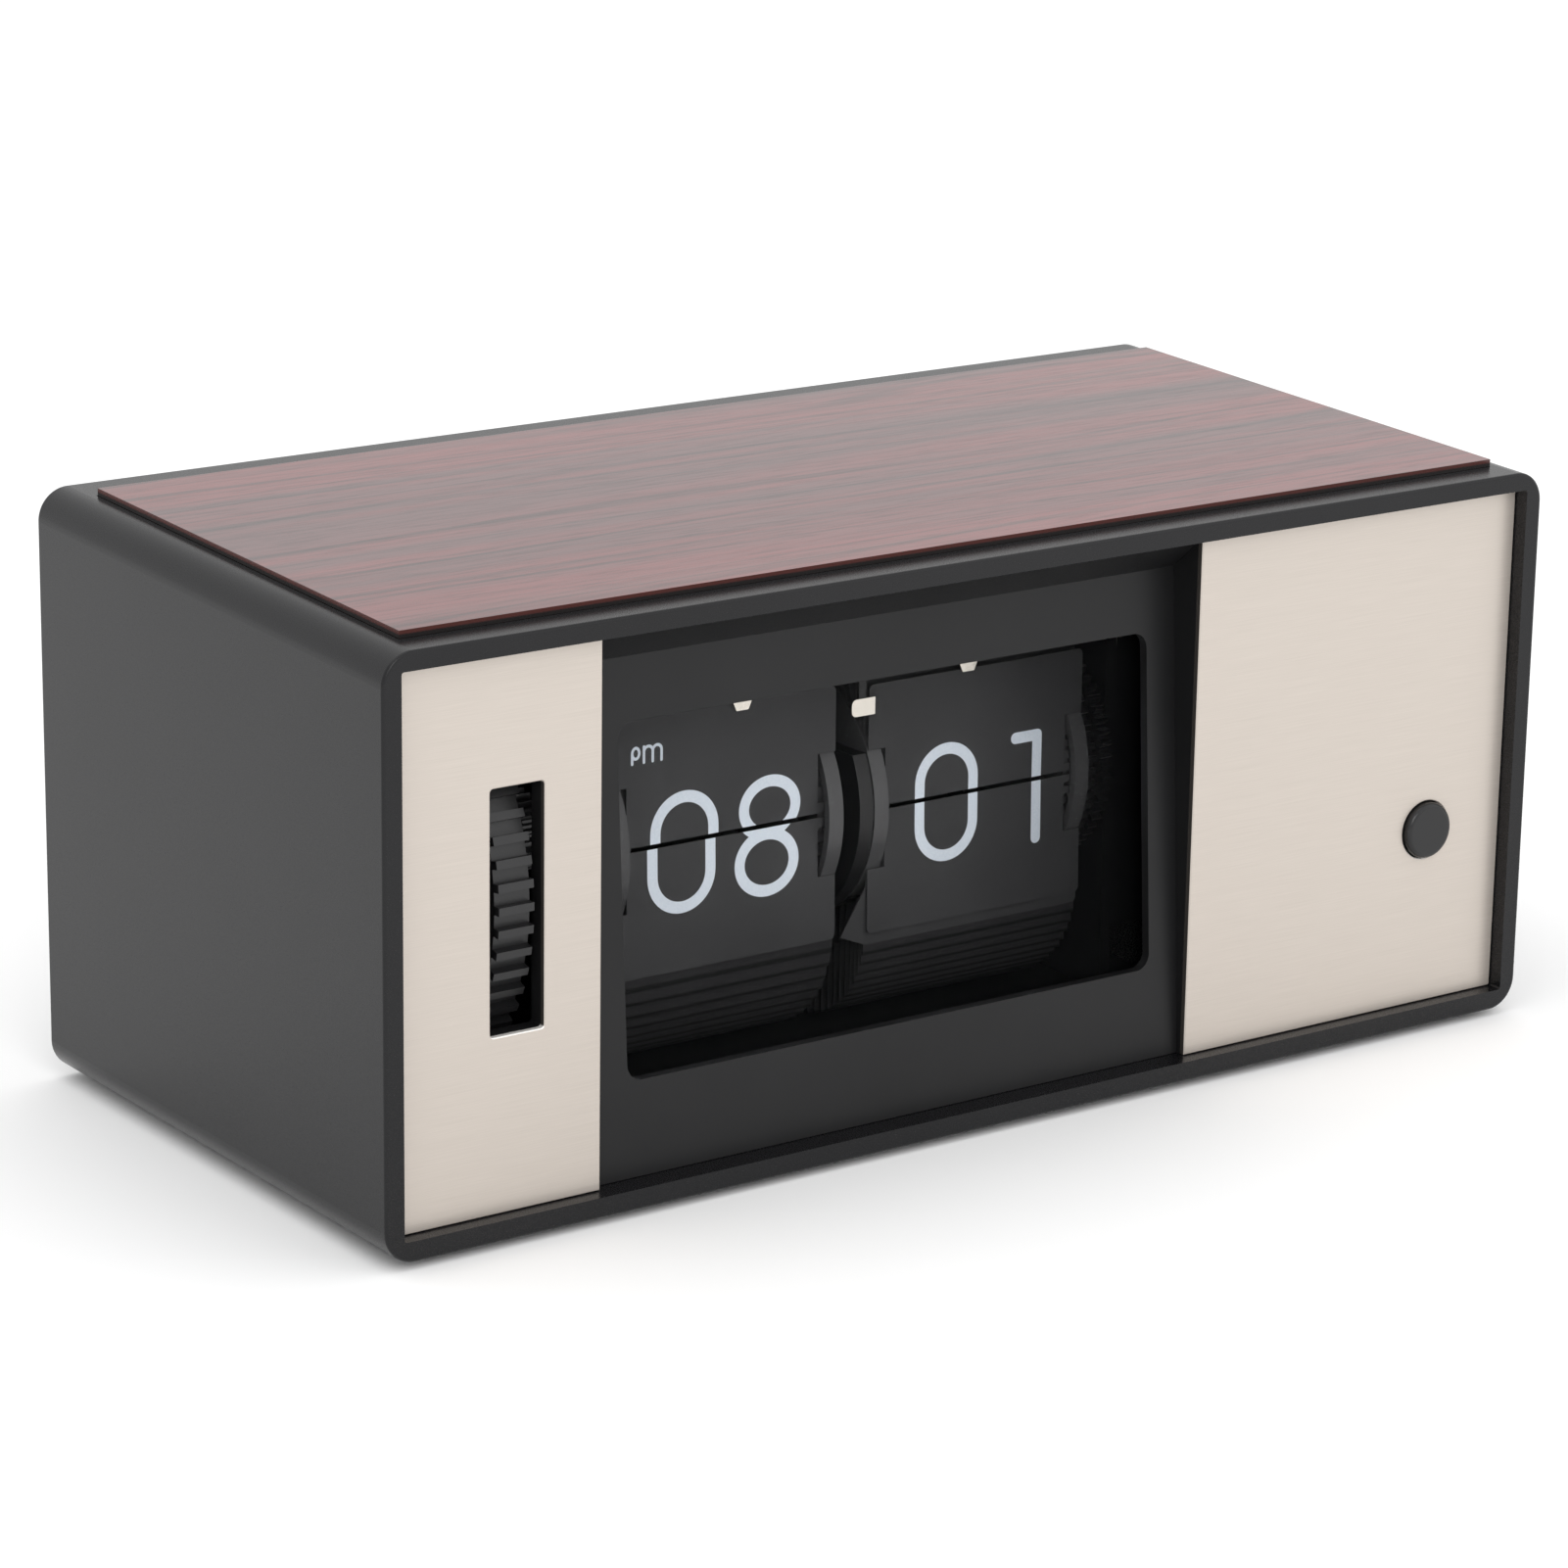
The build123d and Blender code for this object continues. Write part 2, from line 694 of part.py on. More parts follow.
# Thumbwheel: toothed rim, web with round windows, long hub that carries its gear
setting_gear_x = left_plate_x - setting_gear_clearance - setting_gear_width
wheel_angle = degrees(atan2(shaft_z - wheel_axis_z, shaft_y - wheel_axis_y))
with BuildPart() as thumbwheel:
    with BuildSketch(yz(wheel_left)):
        with Locations((wheel_axis_y, wheel_axis_z)):
            rim = toothed_ring(wheel_teeth, wheel_radius, wheel_tooth_depth, wheel_tooth_width)
            Polygon(*rim, align=None)
            Circle(wheel_radius - wheel_tooth_depth - wheel_rim, mode=Mode.SUBTRACT)
    extrude(amount=wheel_width)
    with BuildSketch(yz(slot_middle[0] - wheel_web / 2)):
        with Locations((wheel_axis_y, wheel_axis_z)):
            Circle(wheel_radius - wheel_tooth_depth - wheel_rim / 2)
            with PolarLocations(wheel_window_circle, wheel_windows):
                Circle(wheel_window_radius, mode=Mode.SUBTRACT)
    extrude(amount=wheel_web)
    with BuildSketch(yz(wheel_left)):
        with Locations((wheel_axis_y, wheel_axis_z)):
            Circle(wheel_hub_radius)
    extrude(amount=setting_gear_x + setting_gear_width - wheel_left)
    with BuildSketch(yz(wheel_left)):
        with Locations((wheel_axis_y, wheel_axis_z)):
            Circle(wheel_axle_radius + running_gap)
    extrude(amount=setting_gear_x + setting_gear_width - wheel_left, mode=Mode.SUBTRACT)
save(thumbwheel, "thumbwheel")

with BuildPart() as thumbwheel_gear:
    with BuildSketch(yz(setting_gear_x)):
        with Locations((wheel_axis_y, wheel_axis_z)):
            Polygon(*gear_outline(setting_teeth, fine_module, wheel_angle), align=None)
            Circle(wheel_hub_radius + fit_gap, mode=Mode.SUBTRACT)
    extrude(amount=setting_gear_width)
save(thumbwheel_gear, "thumbwheel_gear")


def shaft_gear(x, width, teeth, module, aim):
    """Gear on the main shaft with a gap facing its partner."""
    with BuildPart() as gear:
        with BuildSketch(yz(x)):
            with Locations((shaft_y, shaft_z)):
                Polygon(*gear_outline(teeth, module, aim, gap_at_aim=True), align=None)
                Circle(shaft_radius + fit_gap, mode=Mode.SUBTRACT)
        extrude(amount=width)
    return gear


# Setting gear at the left end of the main shaft, in mesh with the thumbwheel gear
setting_gear = shaft_gear(setting_gear_x, setting_gear_width, setting_teeth, fine_module, wheel_angle + 180)
save(setting_gear, "setting_gear")

# Transfer train, left of the hour drum: shaft pinion, compound transfer gear, hour wheel
shaft_pinion = shaft_gear(transfer_wheel_x, gear_width, shaft_pinion_teeth, fine_module, transfer_angle)
save(shaft_pinion, "shaft_pinion")

transfer_end = hour_left_face - hour_wheel_gap / 2
with BuildPart() as transfer_gear:
    with BuildSketch(yz(transfer_wheel_x)):
        with Locations((transfer_y, transfer_z)):
            Polygon(*gear_outline(transfer_wheel_teeth, fine_module, transfer_angle + 180), align=None)
    extrude(amount=gear_width)
    with BuildSketch(yz(transfer_wheel_x + gear_width)):
        with Locations((transfer_y, transfer_z)):
            Polygon(*gear_outline(transfer_pinion_teeth, fine_module, transfer_angle + 180), align=None)
    extrude(amount=gear_side_gap + gear_width)
    with BuildSketch(yz(transfer_wheel_x)):
        with Locations((transfer_y, transfer_z)):
            Circle(transfer_axle_radius + running_gap)
    extrude(amount=2 * gear_width + gear_side_gap, mode=Mode.SUBTRACT)
save(transfer_gear, "transfer_gear")

with BuildPart() as transfer_axle:
    with BuildSketch(yz(left_plate_x)):
        with Locations((transfer_y, transfer_z)):
            Circle(transfer_axle_radius)
    extrude(amount=transfer_end - left_plate_x)
save(transfer_axle, "transfer_axle")

# Hour wheel on the hour hub
with BuildPart() as hour_wheel:
    with BuildSketch(yz(hour_wheel_x)):
        with Locations((shaft_y, shaft_z)):
            outline = gear_outline(hour_wheel_teeth, fine_module, transfer_angle, gap_at_aim=True)
            Polygon(*outline, align=None)
            Circle(hour_hub_radius + fit_gap, mode=Mode.SUBTRACT)
    extrude(amount=gear_width)
save(hour_wheel, "hour_wheel")

# Main shaft, from the setting gear to the right bearing plate
with BuildPart() as main_shaft:
    with BuildSketch(yz(setting_gear_x)):
        with Locations((shaft_y, shaft_z)):
            Circle(shaft_radius)
    extrude(amount=right_plate_x + frame_plate - setting_gear_x)
save(main_shaft, "main_shaft")


def hub_tube(left, right, radius, bore):
    """Tube about the shaft axis."""
    with BuildPart() as tube:
        with BuildSketch(yz(left)):
            with Locations((shaft_y, shaft_z)):
                Circle(radius)
                Circle(bore, mode=Mode.SUBTRACT)
        extrude(amount=right - left)
    return tube


def drum_disc(inner_face, side, bore):
    """Disc of a card drum, grooved on its inner face for the pins of the cards. Side is +1 or -1."""
    with BuildPart() as disc:
        with BuildSketch(yz(inner_face)):
            with Locations((shaft_y, shaft_z)):
                Circle(disc_radius)
                Circle(bore, mode=Mode.SUBTRACT)
                with PolarLocations(disc_hole_circle, disc_holes):
                    Circle(disc_hole_radius, mode=Mode.SUBTRACT)
        extrude(amount=side * disc_thickness)
        with BuildSketch(yz(inner_face)):
            with Locations((shaft_y, shaft_z)):
                Circle(pivot_radius + groove_half_width)
                Circle(pivot_radius - groove_half_width, mode=Mode.SUBTRACT)
        extrude(amount=side * groove_depth, mode=Mode.SUBTRACT)
    return disc


# Minute drum: hub and two discs fixed on the main shaft
minute_hub = hub_tube(minute_left_inner, minute_right_inner, minute_hub_radius, shaft_radius + fit_gap)
save(minute_hub, "minute_hub")
minute_left_disc = drum_disc(minute_left_inner, -1, shaft_radius + fit_gap)
save(minute_left_disc, "minute_left_disc")
minute_right_disc = drum_disc(minute_right_inner, 1, shaft_radius + fit_gap)
save(minute_right_disc, "minute_right_disc")

# Hour drum: hub running on the main shaft, two discs fixed on it
hour_hub = hub_tube(hour_wheel_x, hour_right_face, hour_hub_radius, shaft_radius + running_gap)
save(hour_hub, "hour_hub")
hour_left_disc = drum_disc(hour_left_inner, -1, hour_hub_radius + fit_gap)
save(hour_left_disc, "hour_left_disc")
hour_right_disc = drum_disc(hour_right_inner, 1, hour_hub_radius + fit_gap)
save(hour_right_disc, "hour_right_disc")

# Clutch ring with fine teeth on the right minute disc
clutch_tooth_width = pi * clutch_tip_radius / clutch_teeth
with BuildPart() as clutch_ring:
    with BuildSketch(yz(minute_right_face)):
        with Locations((shaft_y, shaft_z)):
            ring = toothed_ring(clutch_teeth, clutch_tip_radius, clutch_tooth_depth, clutch_tooth_width)
            Polygon(*ring, align=None)
            Circle(clutch_inner_radius, mode=Mode.SUBTRACT)
    extrude(amount=clutch_width)
save(clutch_ring, "clutch_ring")

# Drive wheel that the motor turns, with a hub against the minute disc
with BuildPart() as drive_wheel:
    with BuildSketch(yz(drive_wheel_x)):
        with Locations((shaft_y, shaft_z)):
            outline = gear_outline(drive_wheel_teeth, drive_module, motor_angle, gap_at_aim=True)
            Polygon(*outline, align=None)
    extrude(amount=gear_width)
    with BuildSketch(yz(minute_right_face)):
        with Locations((shaft_y, shaft_z)):
            Circle(drive_hub_radius)
    extrude(amount=drive_wheel_x - minute_right_face)
    with BuildSketch(yz(minute_right_face)):
        with Locations((shaft_y, shaft_z)):
            Circle(shaft_radius + fit_gap)
    extrude(amount=drive_wheel_x + gear_width - minute_right_face, mode=Mode.SUBTRACT)
save(drive_wheel, "drive_wheel")

# Motor pinion on its shaft
motor_face = right_plate_x + frame_plate
with BuildPart() as motor_pinion:
    with BuildSketch(yz(drive_wheel_x)):
        with Locations((motor_y, motor_z)):
            Polygon(*gear_outline(motor_pinion_teeth, drive_module, motor_angle + 180), align=None)
    extrude(amount=gear_width)
    with BuildSketch(yz(drive_wheel_x)):
        with Locations((motor_y, motor_z)):
            Circle(motor_shaft_radius)
    extrude(amount=motor_face + motor_bore_depth / 2 - drive_wheel_x)
save(motor_pinion, "motor_pinion")

# Motor with its reduction gear in a round can
with BuildPart() as motor:
    with BuildSketch(yz(motor_face)):
        with Locations((motor_y, motor_z)):
            Circle(motor_radius)
    extrude(amount=motor_length)
    chamfer(motor.edges().group_by(Axis.X)[-1], motor_rim)
    with BuildSketch(yz(motor_face)):
        with Locations((motor_y, motor_z)):
            Circle(motor_shaft_radius + running_gap)
    extrude(amount=motor_bore_depth, mode=Mode.SUBTRACT)
save(motor, "motor")


def card_tail(cards):
    """Length of a card behind its pivot, so that two neighbours leave the split between them."""
    return (2 * pivot_radius * sin(pi / cards) - card_split) / 2


def card_points(cards):
    """Right half of a card's outline about its pivot: pin, narrow neck, shoulder, wide leaf."""
    tail = card_tail(cards)
    pin = drum_inner_width / 2 + card_pin_length
    neck = drum_inner_width / 2 - card_side_gap
    wide = card_width / 2
    foot = [(pin, -tail), (pin, tail), (neck, tail), (neck, card_shoulder)]
    return foot + [(wide, card_shoulder), (wide, card_reach)]


def card_plane(middle_x, turn, lean):
    """Plane of a card: pivot at a turn about the shaft, up from the front, and a lean back from upright."""
    pivot_y = shaft_y - pivot_radius * cos(radians(turn))
    pivot_z = shaft_z + pivot_radius * sin(radians(turn))
    along = (sin(radians(lean)), cos(radians(lean)))
    return Plane(origin=(middle_x, pivot_y, pivot_z), x_dir=(1, 0, 0), z_dir=(0, -along[1], along[0]))


def card_pack(cards, planes, wing=0, rounded=False):
    """Cards of one outline, one on each plane. A wing widens the card at its left."""
    right = card_points(cards)
    left = [(-x, y) for x, y in reversed(right)]
    if wing:
        edge = card_width / 2
        left = left[:1] + [(-edge - wing, wing_low), (-edge, wing_start)] + left[1:]
    with BuildPart() as leaf:
        with BuildSketch(Plane.XY) as face:
            Polygon(*right, *left, align=None)
            if rounded:
                fillet(face.vertices().group_by(Axis.Y)[-1], card_corner_radius)
        extrude(amount=card_thickness / 2, both=True)
    with BuildPart() as pack:
        with Locations(*[Location(plane) for plane in planes]):
            add(leaf.part)
    return pack


def hanging(middle_x, cards, phase, steps):
    """Planes of fallen cards, which hang straight down from their pivots."""
    return [card_plane(middle_x, phase - step * 360 / cards, 180) for step in steps]


def waiting(middle_x, cards, phase, steps):
    """Planes of waiting cards, which lie back round the drum, one behind the other."""
    pitch = 360 / cards
    return [card_plane(middle_x, phase + step * pitch, top_flap_lean_angle + step * pitch) for step in steps]


# Cards of both drums: the top flap stands, the lower flap hangs in front of the fallen cards
for drum, middle_x, cards, phase in (
    ("minute", minute_middle_x, minute_card_count, minute_phase_angle),
    ("hour", hour_middle_x, hour_card_count, hour_phase_angle),
):
    top_plane = card_plane(middle_x, phase, top_flap_lean_angle)
    lower_plane = card_plane(middle_x, phase - 360 / cards, 180 + lower_flap_lean_angle)
    first_fallen = 3 if drum == "minute" else 2
    save(card_pack(cards, [top_plane], rounded=True), f"{drum}_top_flap")
    save(card_pack(cards, [lower_plane], rounded=True), f"{drum}_lower_flap")
    save(card_pack(cards, waiting(middle_x, cards, phase, range(1, cards // 2))), f"{drum}_waiting_cards")
    fallen = hanging(middle_x, cards, phase, range(first_fallen, cards // 2 + 1))
    save(card_pack(cards, fallen), f"{drum}_fallen_cards")

# Hour-carry card: the minute card behind the lower flap, with a wing that works the lever
carry_plane = hanging(minute_middle_x, minute_card_count, minute_phase_angle, [2])
save(card_pack(minute_card_count, carry_plane, wing=wing_width, rounded=True), "carry_card")

# Retaining springs: bent strips under the cross bar that hold the top flaps by their upper edge
bar_low = bar_z - bar_thickness / 2
for drum, middle_x, phase in (
    ("minute", minute_middle_x + minute_spring_shift, minute_phase_angle),
    ("hour", hour_middle_x + hour_spring_shift, hour_phase_angle),
):
    flap_tip_y = shaft_y - pivot_radius * cos(radians(phase)) + card_reach * sin(radians(top_flap_lean_angle))
    spring_back = flap_tip_y - card_thickness / 2 - spring_gap
    spring_front = spring_back - spring_thickness
    with BuildPart() as retaining_spring:
        with BuildSketch(yz(middle_x - spring_width / 2)):
            Polygon(
                (spring_front, spring_tip_z),
                (spring_back, spring_tip_z),
                (spring_back, bar_low - spring_thickness),
                (bar_y + bar_depth / 2, bar_low - spring_thickness),
                (bar_y + bar_depth / 2, bar_low),
                (spring_front, bar_low),
                align=None,
            )
        extrude(amount=spring_width)
        with BuildSketch(xz(spring_front)):
            for side in (-1, 1):
                outer_x = middle_x + side * spring_width / 2
                Polygon(
                    (outer_x, spring_tip_z),
                    (middle_x + side * spring_tip_width / 2, spring_tip_z),
                    (outer_x, spring_tip_z + spring_tip_taper),
                    align=None,
                )
        extrude(amount=-spring_thickness, mode=Mode.SUBTRACT)
    save(retaining_spring, f"{drum}_retaining_spring")

# Carry lever between the drums: an arm with an eye at its top, and a bright tip with a round end on its foot
tip_left = centre_plate_x - lever_tip_overhang
tip_height = lever_tip_high - lever_tip_low
stem_middle = tip_left + lever_tip_width / 2
arm_face_y = lever_face_y + lever_tip_thickness
lever_middle_y = arm_face_y + lever_thickness / 2
with BuildPart() as carry_lever:
    with BuildSketch(xz(arm_face_y)):
        with Locations((stem_middle, lever_tip_low)):
            Rectangle(lever_stem_width, lever_eye_z - lever_tip_low, align=(Align.CENTER, Align.MIN))
    extrude(amount=-lever_thickness)
    with BuildSketch(yz(stem_middle - lever_stem_width / 2)):
        with Locations((lever_middle_y, lever_eye_z)):
            Circle(lever_eye_radius)
    extrude(amount=lever_stem_width)
    with BuildSketch(yz(stem_middle - lever_stem_width / 2)):
        with Locations((lever_middle_y, lever_eye_z)):
            Circle(lever_pin_radius + running_gap)
    extrude(amount=lever_stem_width, mode=Mode.SUBTRACT)
save(carry_lever, "carry_lever")

with BuildPart() as lever_tip:
    with BuildSketch(xz(lever_face_y)) as face:
        with Locations((tip_left, lever_tip_low)):
            Rectangle(lever_tip_width, tip_height, align=(Align.MIN, Align.MIN))
        fillet(face.vertices().group_by(Axis.X)[0], tip_height / 3)
    extrude(amount=-lever_tip_thickness)
save(lever_tip, "lever_tip")

# Lever bracket: two cheeks under the front of the cross bar with the lever's pin between them
cheek_gap = running_gap + lever_stem_width / 2
with BuildPart() as lever_bracket:
    for cheek_x in (stem_middle - cheek_gap - frame_plate, stem_middle + cheek_gap):
        with BuildSketch(yz(cheek_x)):
            with Locations((lever_middle_y, lever_eye_z)):
                Circle(lever_eye_radius)
            with Locations((bar_y, bar_low)):
                Rectangle(bar_depth, spring_thickness, align=(Align.CENTER, Align.MAX))
            make_hull()
        extrude(amount=frame_plate)
    with BuildSketch(yz(stem_middle - cheek_gap)):
        with Locations((lever_middle_y, lever_eye_z)):
            Circle(lever_pin_radius)
    extrude(amount=2 * cheek_gap)
save(lever_bracket, "lever_bracket")

# Rear cover, with the opening of the battery box, a row of vents and four cross-recessed screws
cell_middle_x = box_left + box_wall + cell_gap + cell_radius
box_right = cell_middle_x + cell_radius + cell_gap + box_wall
cell_middle_y = box_front + box_wall + cell_gap + cell_radius
cell_low = inner_floor + box_wall + contact_thickness + contact_bow
cell_high = cell_low + cell_length
box_top = cell_high + nub_height + contact_bow + contact_thickness + box_wall
door_width = box_right - box_left - 2 * box_wall
door_low = inner_floor + box_wall
door_height = box_top - box_wall - door_low
door_middle = (cell_middle_x, door_low + door_height / 2)
vent_middle = (inner_left + inner_width / 4, rear_middle)
with BuildPart() as rear_cover:
    with BuildSketch(xz(cover_front)):
        with Locations((0, rear_middle)):
            RectangleRounded(inner_width - 2 * cover_gap, rear_height - 2 * cover_gap, case_mouth_radius)
            with GridLocations(inner_width - 2 * screw_inset, rear_height - 2 * screw_inset, 2, 2):
                Circle(screw_radius + fit_gap, mode=Mode.SUBTRACT)
        with Locations(door_middle):
            Rectangle(door_width, door_height, mode=Mode.SUBTRACT)
        with Locations(vent_middle):
            with GridLocations(vent_pitch, 0, vents, 1):
                SlotOverall(vent_length, vent_width, rotation=90, mode=Mode.SUBTRACT)
    extrude(amount=-cover_thickness)
    with BuildSketch(xz(cover_front + cover_thickness)):
        with Locations((0, rear_middle)):
            with GridLocations(inner_width - 2 * screw_inset, rear_height - 2 * screw_inset, 2, 2):
                Circle(screw_head_radius + cover_gap)
    extrude(amount=screw_head_height, mode=Mode.SUBTRACT)
save(rear_cover, "rear_cover")

with BuildPart() as rear_cover_screws:
    head_face = cover_front + cover_thickness
    with BuildSketch(xz(head_face)):
        with Locations((0, rear_middle)):
            with GridLocations(inner_width - 2 * screw_inset, rear_height - 2 * screw_inset, 2, 2):
                Circle(screw_head_radius)
    extrude(amount=screw_head_height)
    with BuildSketch(xz(head_face - screw_head_height)):
        with Locations((0, rear_middle)):
            with GridLocations(inner_width - 2 * screw_inset, rear_height - 2 * screw_inset, 2, 2):
                Circle(screw_radius)
    extrude(amount=screw_length)
    with BuildSketch(xz(head_face)):
        with Locations((0, rear_middle)):
            with GridLocations(inner_width - 2 * screw_inset, rear_height - 2 * screw_inset, 2, 2):
                Rectangle(recess_length, recess_width)
                Rectangle(recess_width, recess_length)
    extrude(amount=recess_depth, mode=Mode.SUBTRACT)
save(rear_cover_screws, "rear_cover_screws")

# Battery box on the case floor, open to the back
with BuildPart() as battery_box:
    with BuildSketch(xz(box_front)):
        with Locations((box_left, inner_floor)):
            Rectangle(box_right - box_left, box_top - inner_floor, align=(Align.MIN, Align.MIN))
    extrude(amount=-(cover_front - box_front))
    with BuildSketch(xz(box_front + box_wall)):
        with Locations(door_middle):
            Rectangle(door_width, door_height)
    extrude(amount=-(cover_front - box_front), mode=Mode.SUBTRACT)
save(battery_box, "battery_box")

# Battery: one large round cell, standing
with BuildPart() as battery_cell:
    with BuildSketch(Plane.XY.offset(cell_low)):
        with Locations((cell_middle_x, cell_middle_y)):
            Circle(cell_radius)
    extrude(amount=cell_length)
    chamfer(battery_cell.edges().group_by(Axis.Z)[-1], cell_edge_radius)
    chamfer(battery_cell.edges().group_by(Axis.Z)[0], cell_edge_radius)
    with BuildSketch(Plane.XY.offset(cell_high)):
        with Locations((cell_middle_x, cell_middle_y)):
            Circle(nub_radius)
    extrude(amount=nub_height)
save(battery_cell, "battery_cell")

# Battery contacts: sheet strips bowed towards the cell
contact_top = cell_high + nub_height + contact_bow + contact_thickness
for pole, back_z, towards in (("negative", inner_floor + box_wall, 1), ("positive", contact_top, -1)):
    with BuildPart() as contact:
        with BuildSketch(yz(cell_middle_x - contact_width / 2)):
            with BuildLine():
                left_end = (cell_middle_y - contact_width / 2, back_z)
                right_end = (cell_middle_y + contact_width / 2, back_z)
                crest = (cell_middle_y, back_z + towards * contact_bow)
                lift = towards * contact_thickness
                left_face = (left_end[0], back_z + lift)
                right_face = (right_end[0], back_z + lift)
                ThreePointArc(left_end, crest, right_end)
                Line(right_end, right_face)
                ThreePointArc(right_face, (crest[0], crest[1] + lift), left_face)
                Line(left_face, left_end)
            make_face()
        extrude(amount=contact_width)
    save(contact, f"battery_{pole}_contact")

# Battery door, flush in the rear cover, with finger grooves and two lugs behind the cover's lower edge
with BuildPart() as battery_door:
    with BuildSketch(xz(cover_front)):
        with Locations(door_middle):
            Rectangle(door_width - 2 * door_gap, door_height - 2 * door_gap)
    extrude(amount=-cover_thickness)
    with BuildSketch(xz(cover_front + cover_thickness)):
        with Locations((door_middle[0], door_middle[1] + door_height / 3)):
            with GridLocations(0, door_grip_pitch, 1, door_grips):
                RectangleRounded(door_grip_width, door_grip_height, door_grip_height / 3)
    extrude(amount=door_grip_depth, mode=Mode.SUBTRACT)
save(battery_door, "battery_door")
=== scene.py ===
import bmesh
import bpy
import json
from math import atan2, cos, pi, radians, sin
from mathutils import Matrix, Vector


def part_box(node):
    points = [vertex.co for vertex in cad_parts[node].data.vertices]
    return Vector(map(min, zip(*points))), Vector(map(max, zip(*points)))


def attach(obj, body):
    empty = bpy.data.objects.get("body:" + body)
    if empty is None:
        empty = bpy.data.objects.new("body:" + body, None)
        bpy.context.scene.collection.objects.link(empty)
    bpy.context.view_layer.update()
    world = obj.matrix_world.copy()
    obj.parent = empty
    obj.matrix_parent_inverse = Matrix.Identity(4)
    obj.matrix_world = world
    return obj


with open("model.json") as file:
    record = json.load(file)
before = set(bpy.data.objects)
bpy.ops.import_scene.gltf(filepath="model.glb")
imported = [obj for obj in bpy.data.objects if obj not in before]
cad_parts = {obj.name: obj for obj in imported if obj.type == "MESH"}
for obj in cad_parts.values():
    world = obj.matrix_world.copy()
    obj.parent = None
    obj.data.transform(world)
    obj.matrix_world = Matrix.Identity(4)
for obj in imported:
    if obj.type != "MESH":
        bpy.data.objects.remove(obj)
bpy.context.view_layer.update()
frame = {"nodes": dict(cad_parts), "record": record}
nodes = frame["nodes"]
joints = {joint["name"]: joint for joint in frame["record"]["behaviour"]["joints"]}

# Camera of the photograph, in metres and degrees
camera_place = Vector((-0.46879, -0.65095, 0.27774))
camera_turn = 35.536
camera_tilt = 16.302
camera_roll = -0.878
camera_lens = 121.92
camera_sensor = 36.0
camera_near = 0.01

# Studio, in metres and watts
floor_reach = 8.0
floor_tone = 0.97
floor_roughness = 0.9
surroundings_tone = 1.0
surroundings_strength = 1.0
lamp_target = Vector((0, 0, 0.045))
front_lamp_place = Vector((0.7, -1.0, 0.7))
front_lamp_size = 1.3
front_lamp_power = 2.0
left_lamp_place = Vector((-0.45, -1.2, 0.75))
left_lamp_size = 0.7
left_lamp_power = 4.0
top_lamp_place = Vector((-0.3, 0.1, 1.6))
top_lamp_size = 1.6
top_lamp_power = 5.0

# Card drums, in metres and degrees
shaft_low, shaft_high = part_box("main_shaft")
shaft_middle = (shaft_low + shaft_high) / 2
minute_hinge = Vector(joints["minute_flap_fall"]["pos_m"])
hour_hinge = Vector(joints["hour_flap_fall"]["pos_m"])
minute_pitch = 6.0
hour_pitch = 7.5
top_lean = 0.5
lower_lean = 181.4
card_half_thickness = 0.00007
card_reach = 0.019
# Painted shade at the lower end of each fallen card: the height of the dark line and its fade
end_shade_height = 0.00036
end_shade_fade = ((0.5, 0.4), (1.0, 1.0))
print_lift = 0.00002
ink_layer = 0.000004
split_half_gap = 0.00035

# Printed digits, in metres: outer edges of each digit and the width of a stroke
stroke = 0.00185
digit_low = 0.0341
digit_high = 0.0532
one_high = 0.05275
hour_zero_left, hour_zero_right = -0.0433, -0.0309
hour_eight_left, hour_eight_right = -0.0274, -0.0155
hour_lower_shift = -0.0006
minute_zero_left, minute_zero_right = 0.006, 0.0182
minute_one_left, minute_one_right = 0.0246, 0.0307
next_two_left, next_two_right = 0.0216, 0.0332
waist_height_share = 0.52
upper_loop_share = 0.95
two_head_start, two_head_end = 170, -35

# Small letters of the half day, in metres
letter_stroke = 0.00046
letter_low = 0.05845
letter_high = 0.06132
letter_p_left, letter_p_right = -0.0468, -0.04508
letter_p_bowl_low = 0.0594
letter_m_left, letter_m_right = -0.0447, -0.04108

# Straight steps in a half ring, a loop, a stroke's end, a letter's arch and a corner of the cloth
half_ring_steps = 24
loop_steps = 48
end_steps = 12
arch_steps = 12
corner_steps = 6

# Lower limit of the cosine that widens a stroke's corner, and the share of a stroke's width within
# which its two ends close a ring
least_corner_cosine = 0.5
closing_share = 0.01

# Black sheet behind the vents of the rear cover that stands in for the shade inside, in metres; their middle
# is a quarter of the way along X
cloth_width = 0.048
cloth_height = 0.032
cloth_thickness = 0.0004
cloth_corner = 0.004
vent_place_share = 0.25

# Looks: noise is given by its features per metre, detail, distortion and roughness, a fade by two pairs
# of value and level, and tones by pairs of value and colour in 0 to 255; many of them share this range
noise_low, noise_high = 0.3, 0.7

# Relief of moulded plastics and rubber, in metres, and how far tone and gloss swing about their mean
grain_fine = 0.00001
grain_middle = 0.00002
grain_coarse = 0.00004
grain_strength = 0.35
grain_detail = 3.0
grain_low, grain_high = 0.25, 0.75
cloud_features = 45.0
cloud_detail = 4.0
tone_swing = 0.12
gloss_swing = 0.06
plain_sheen = 0.5

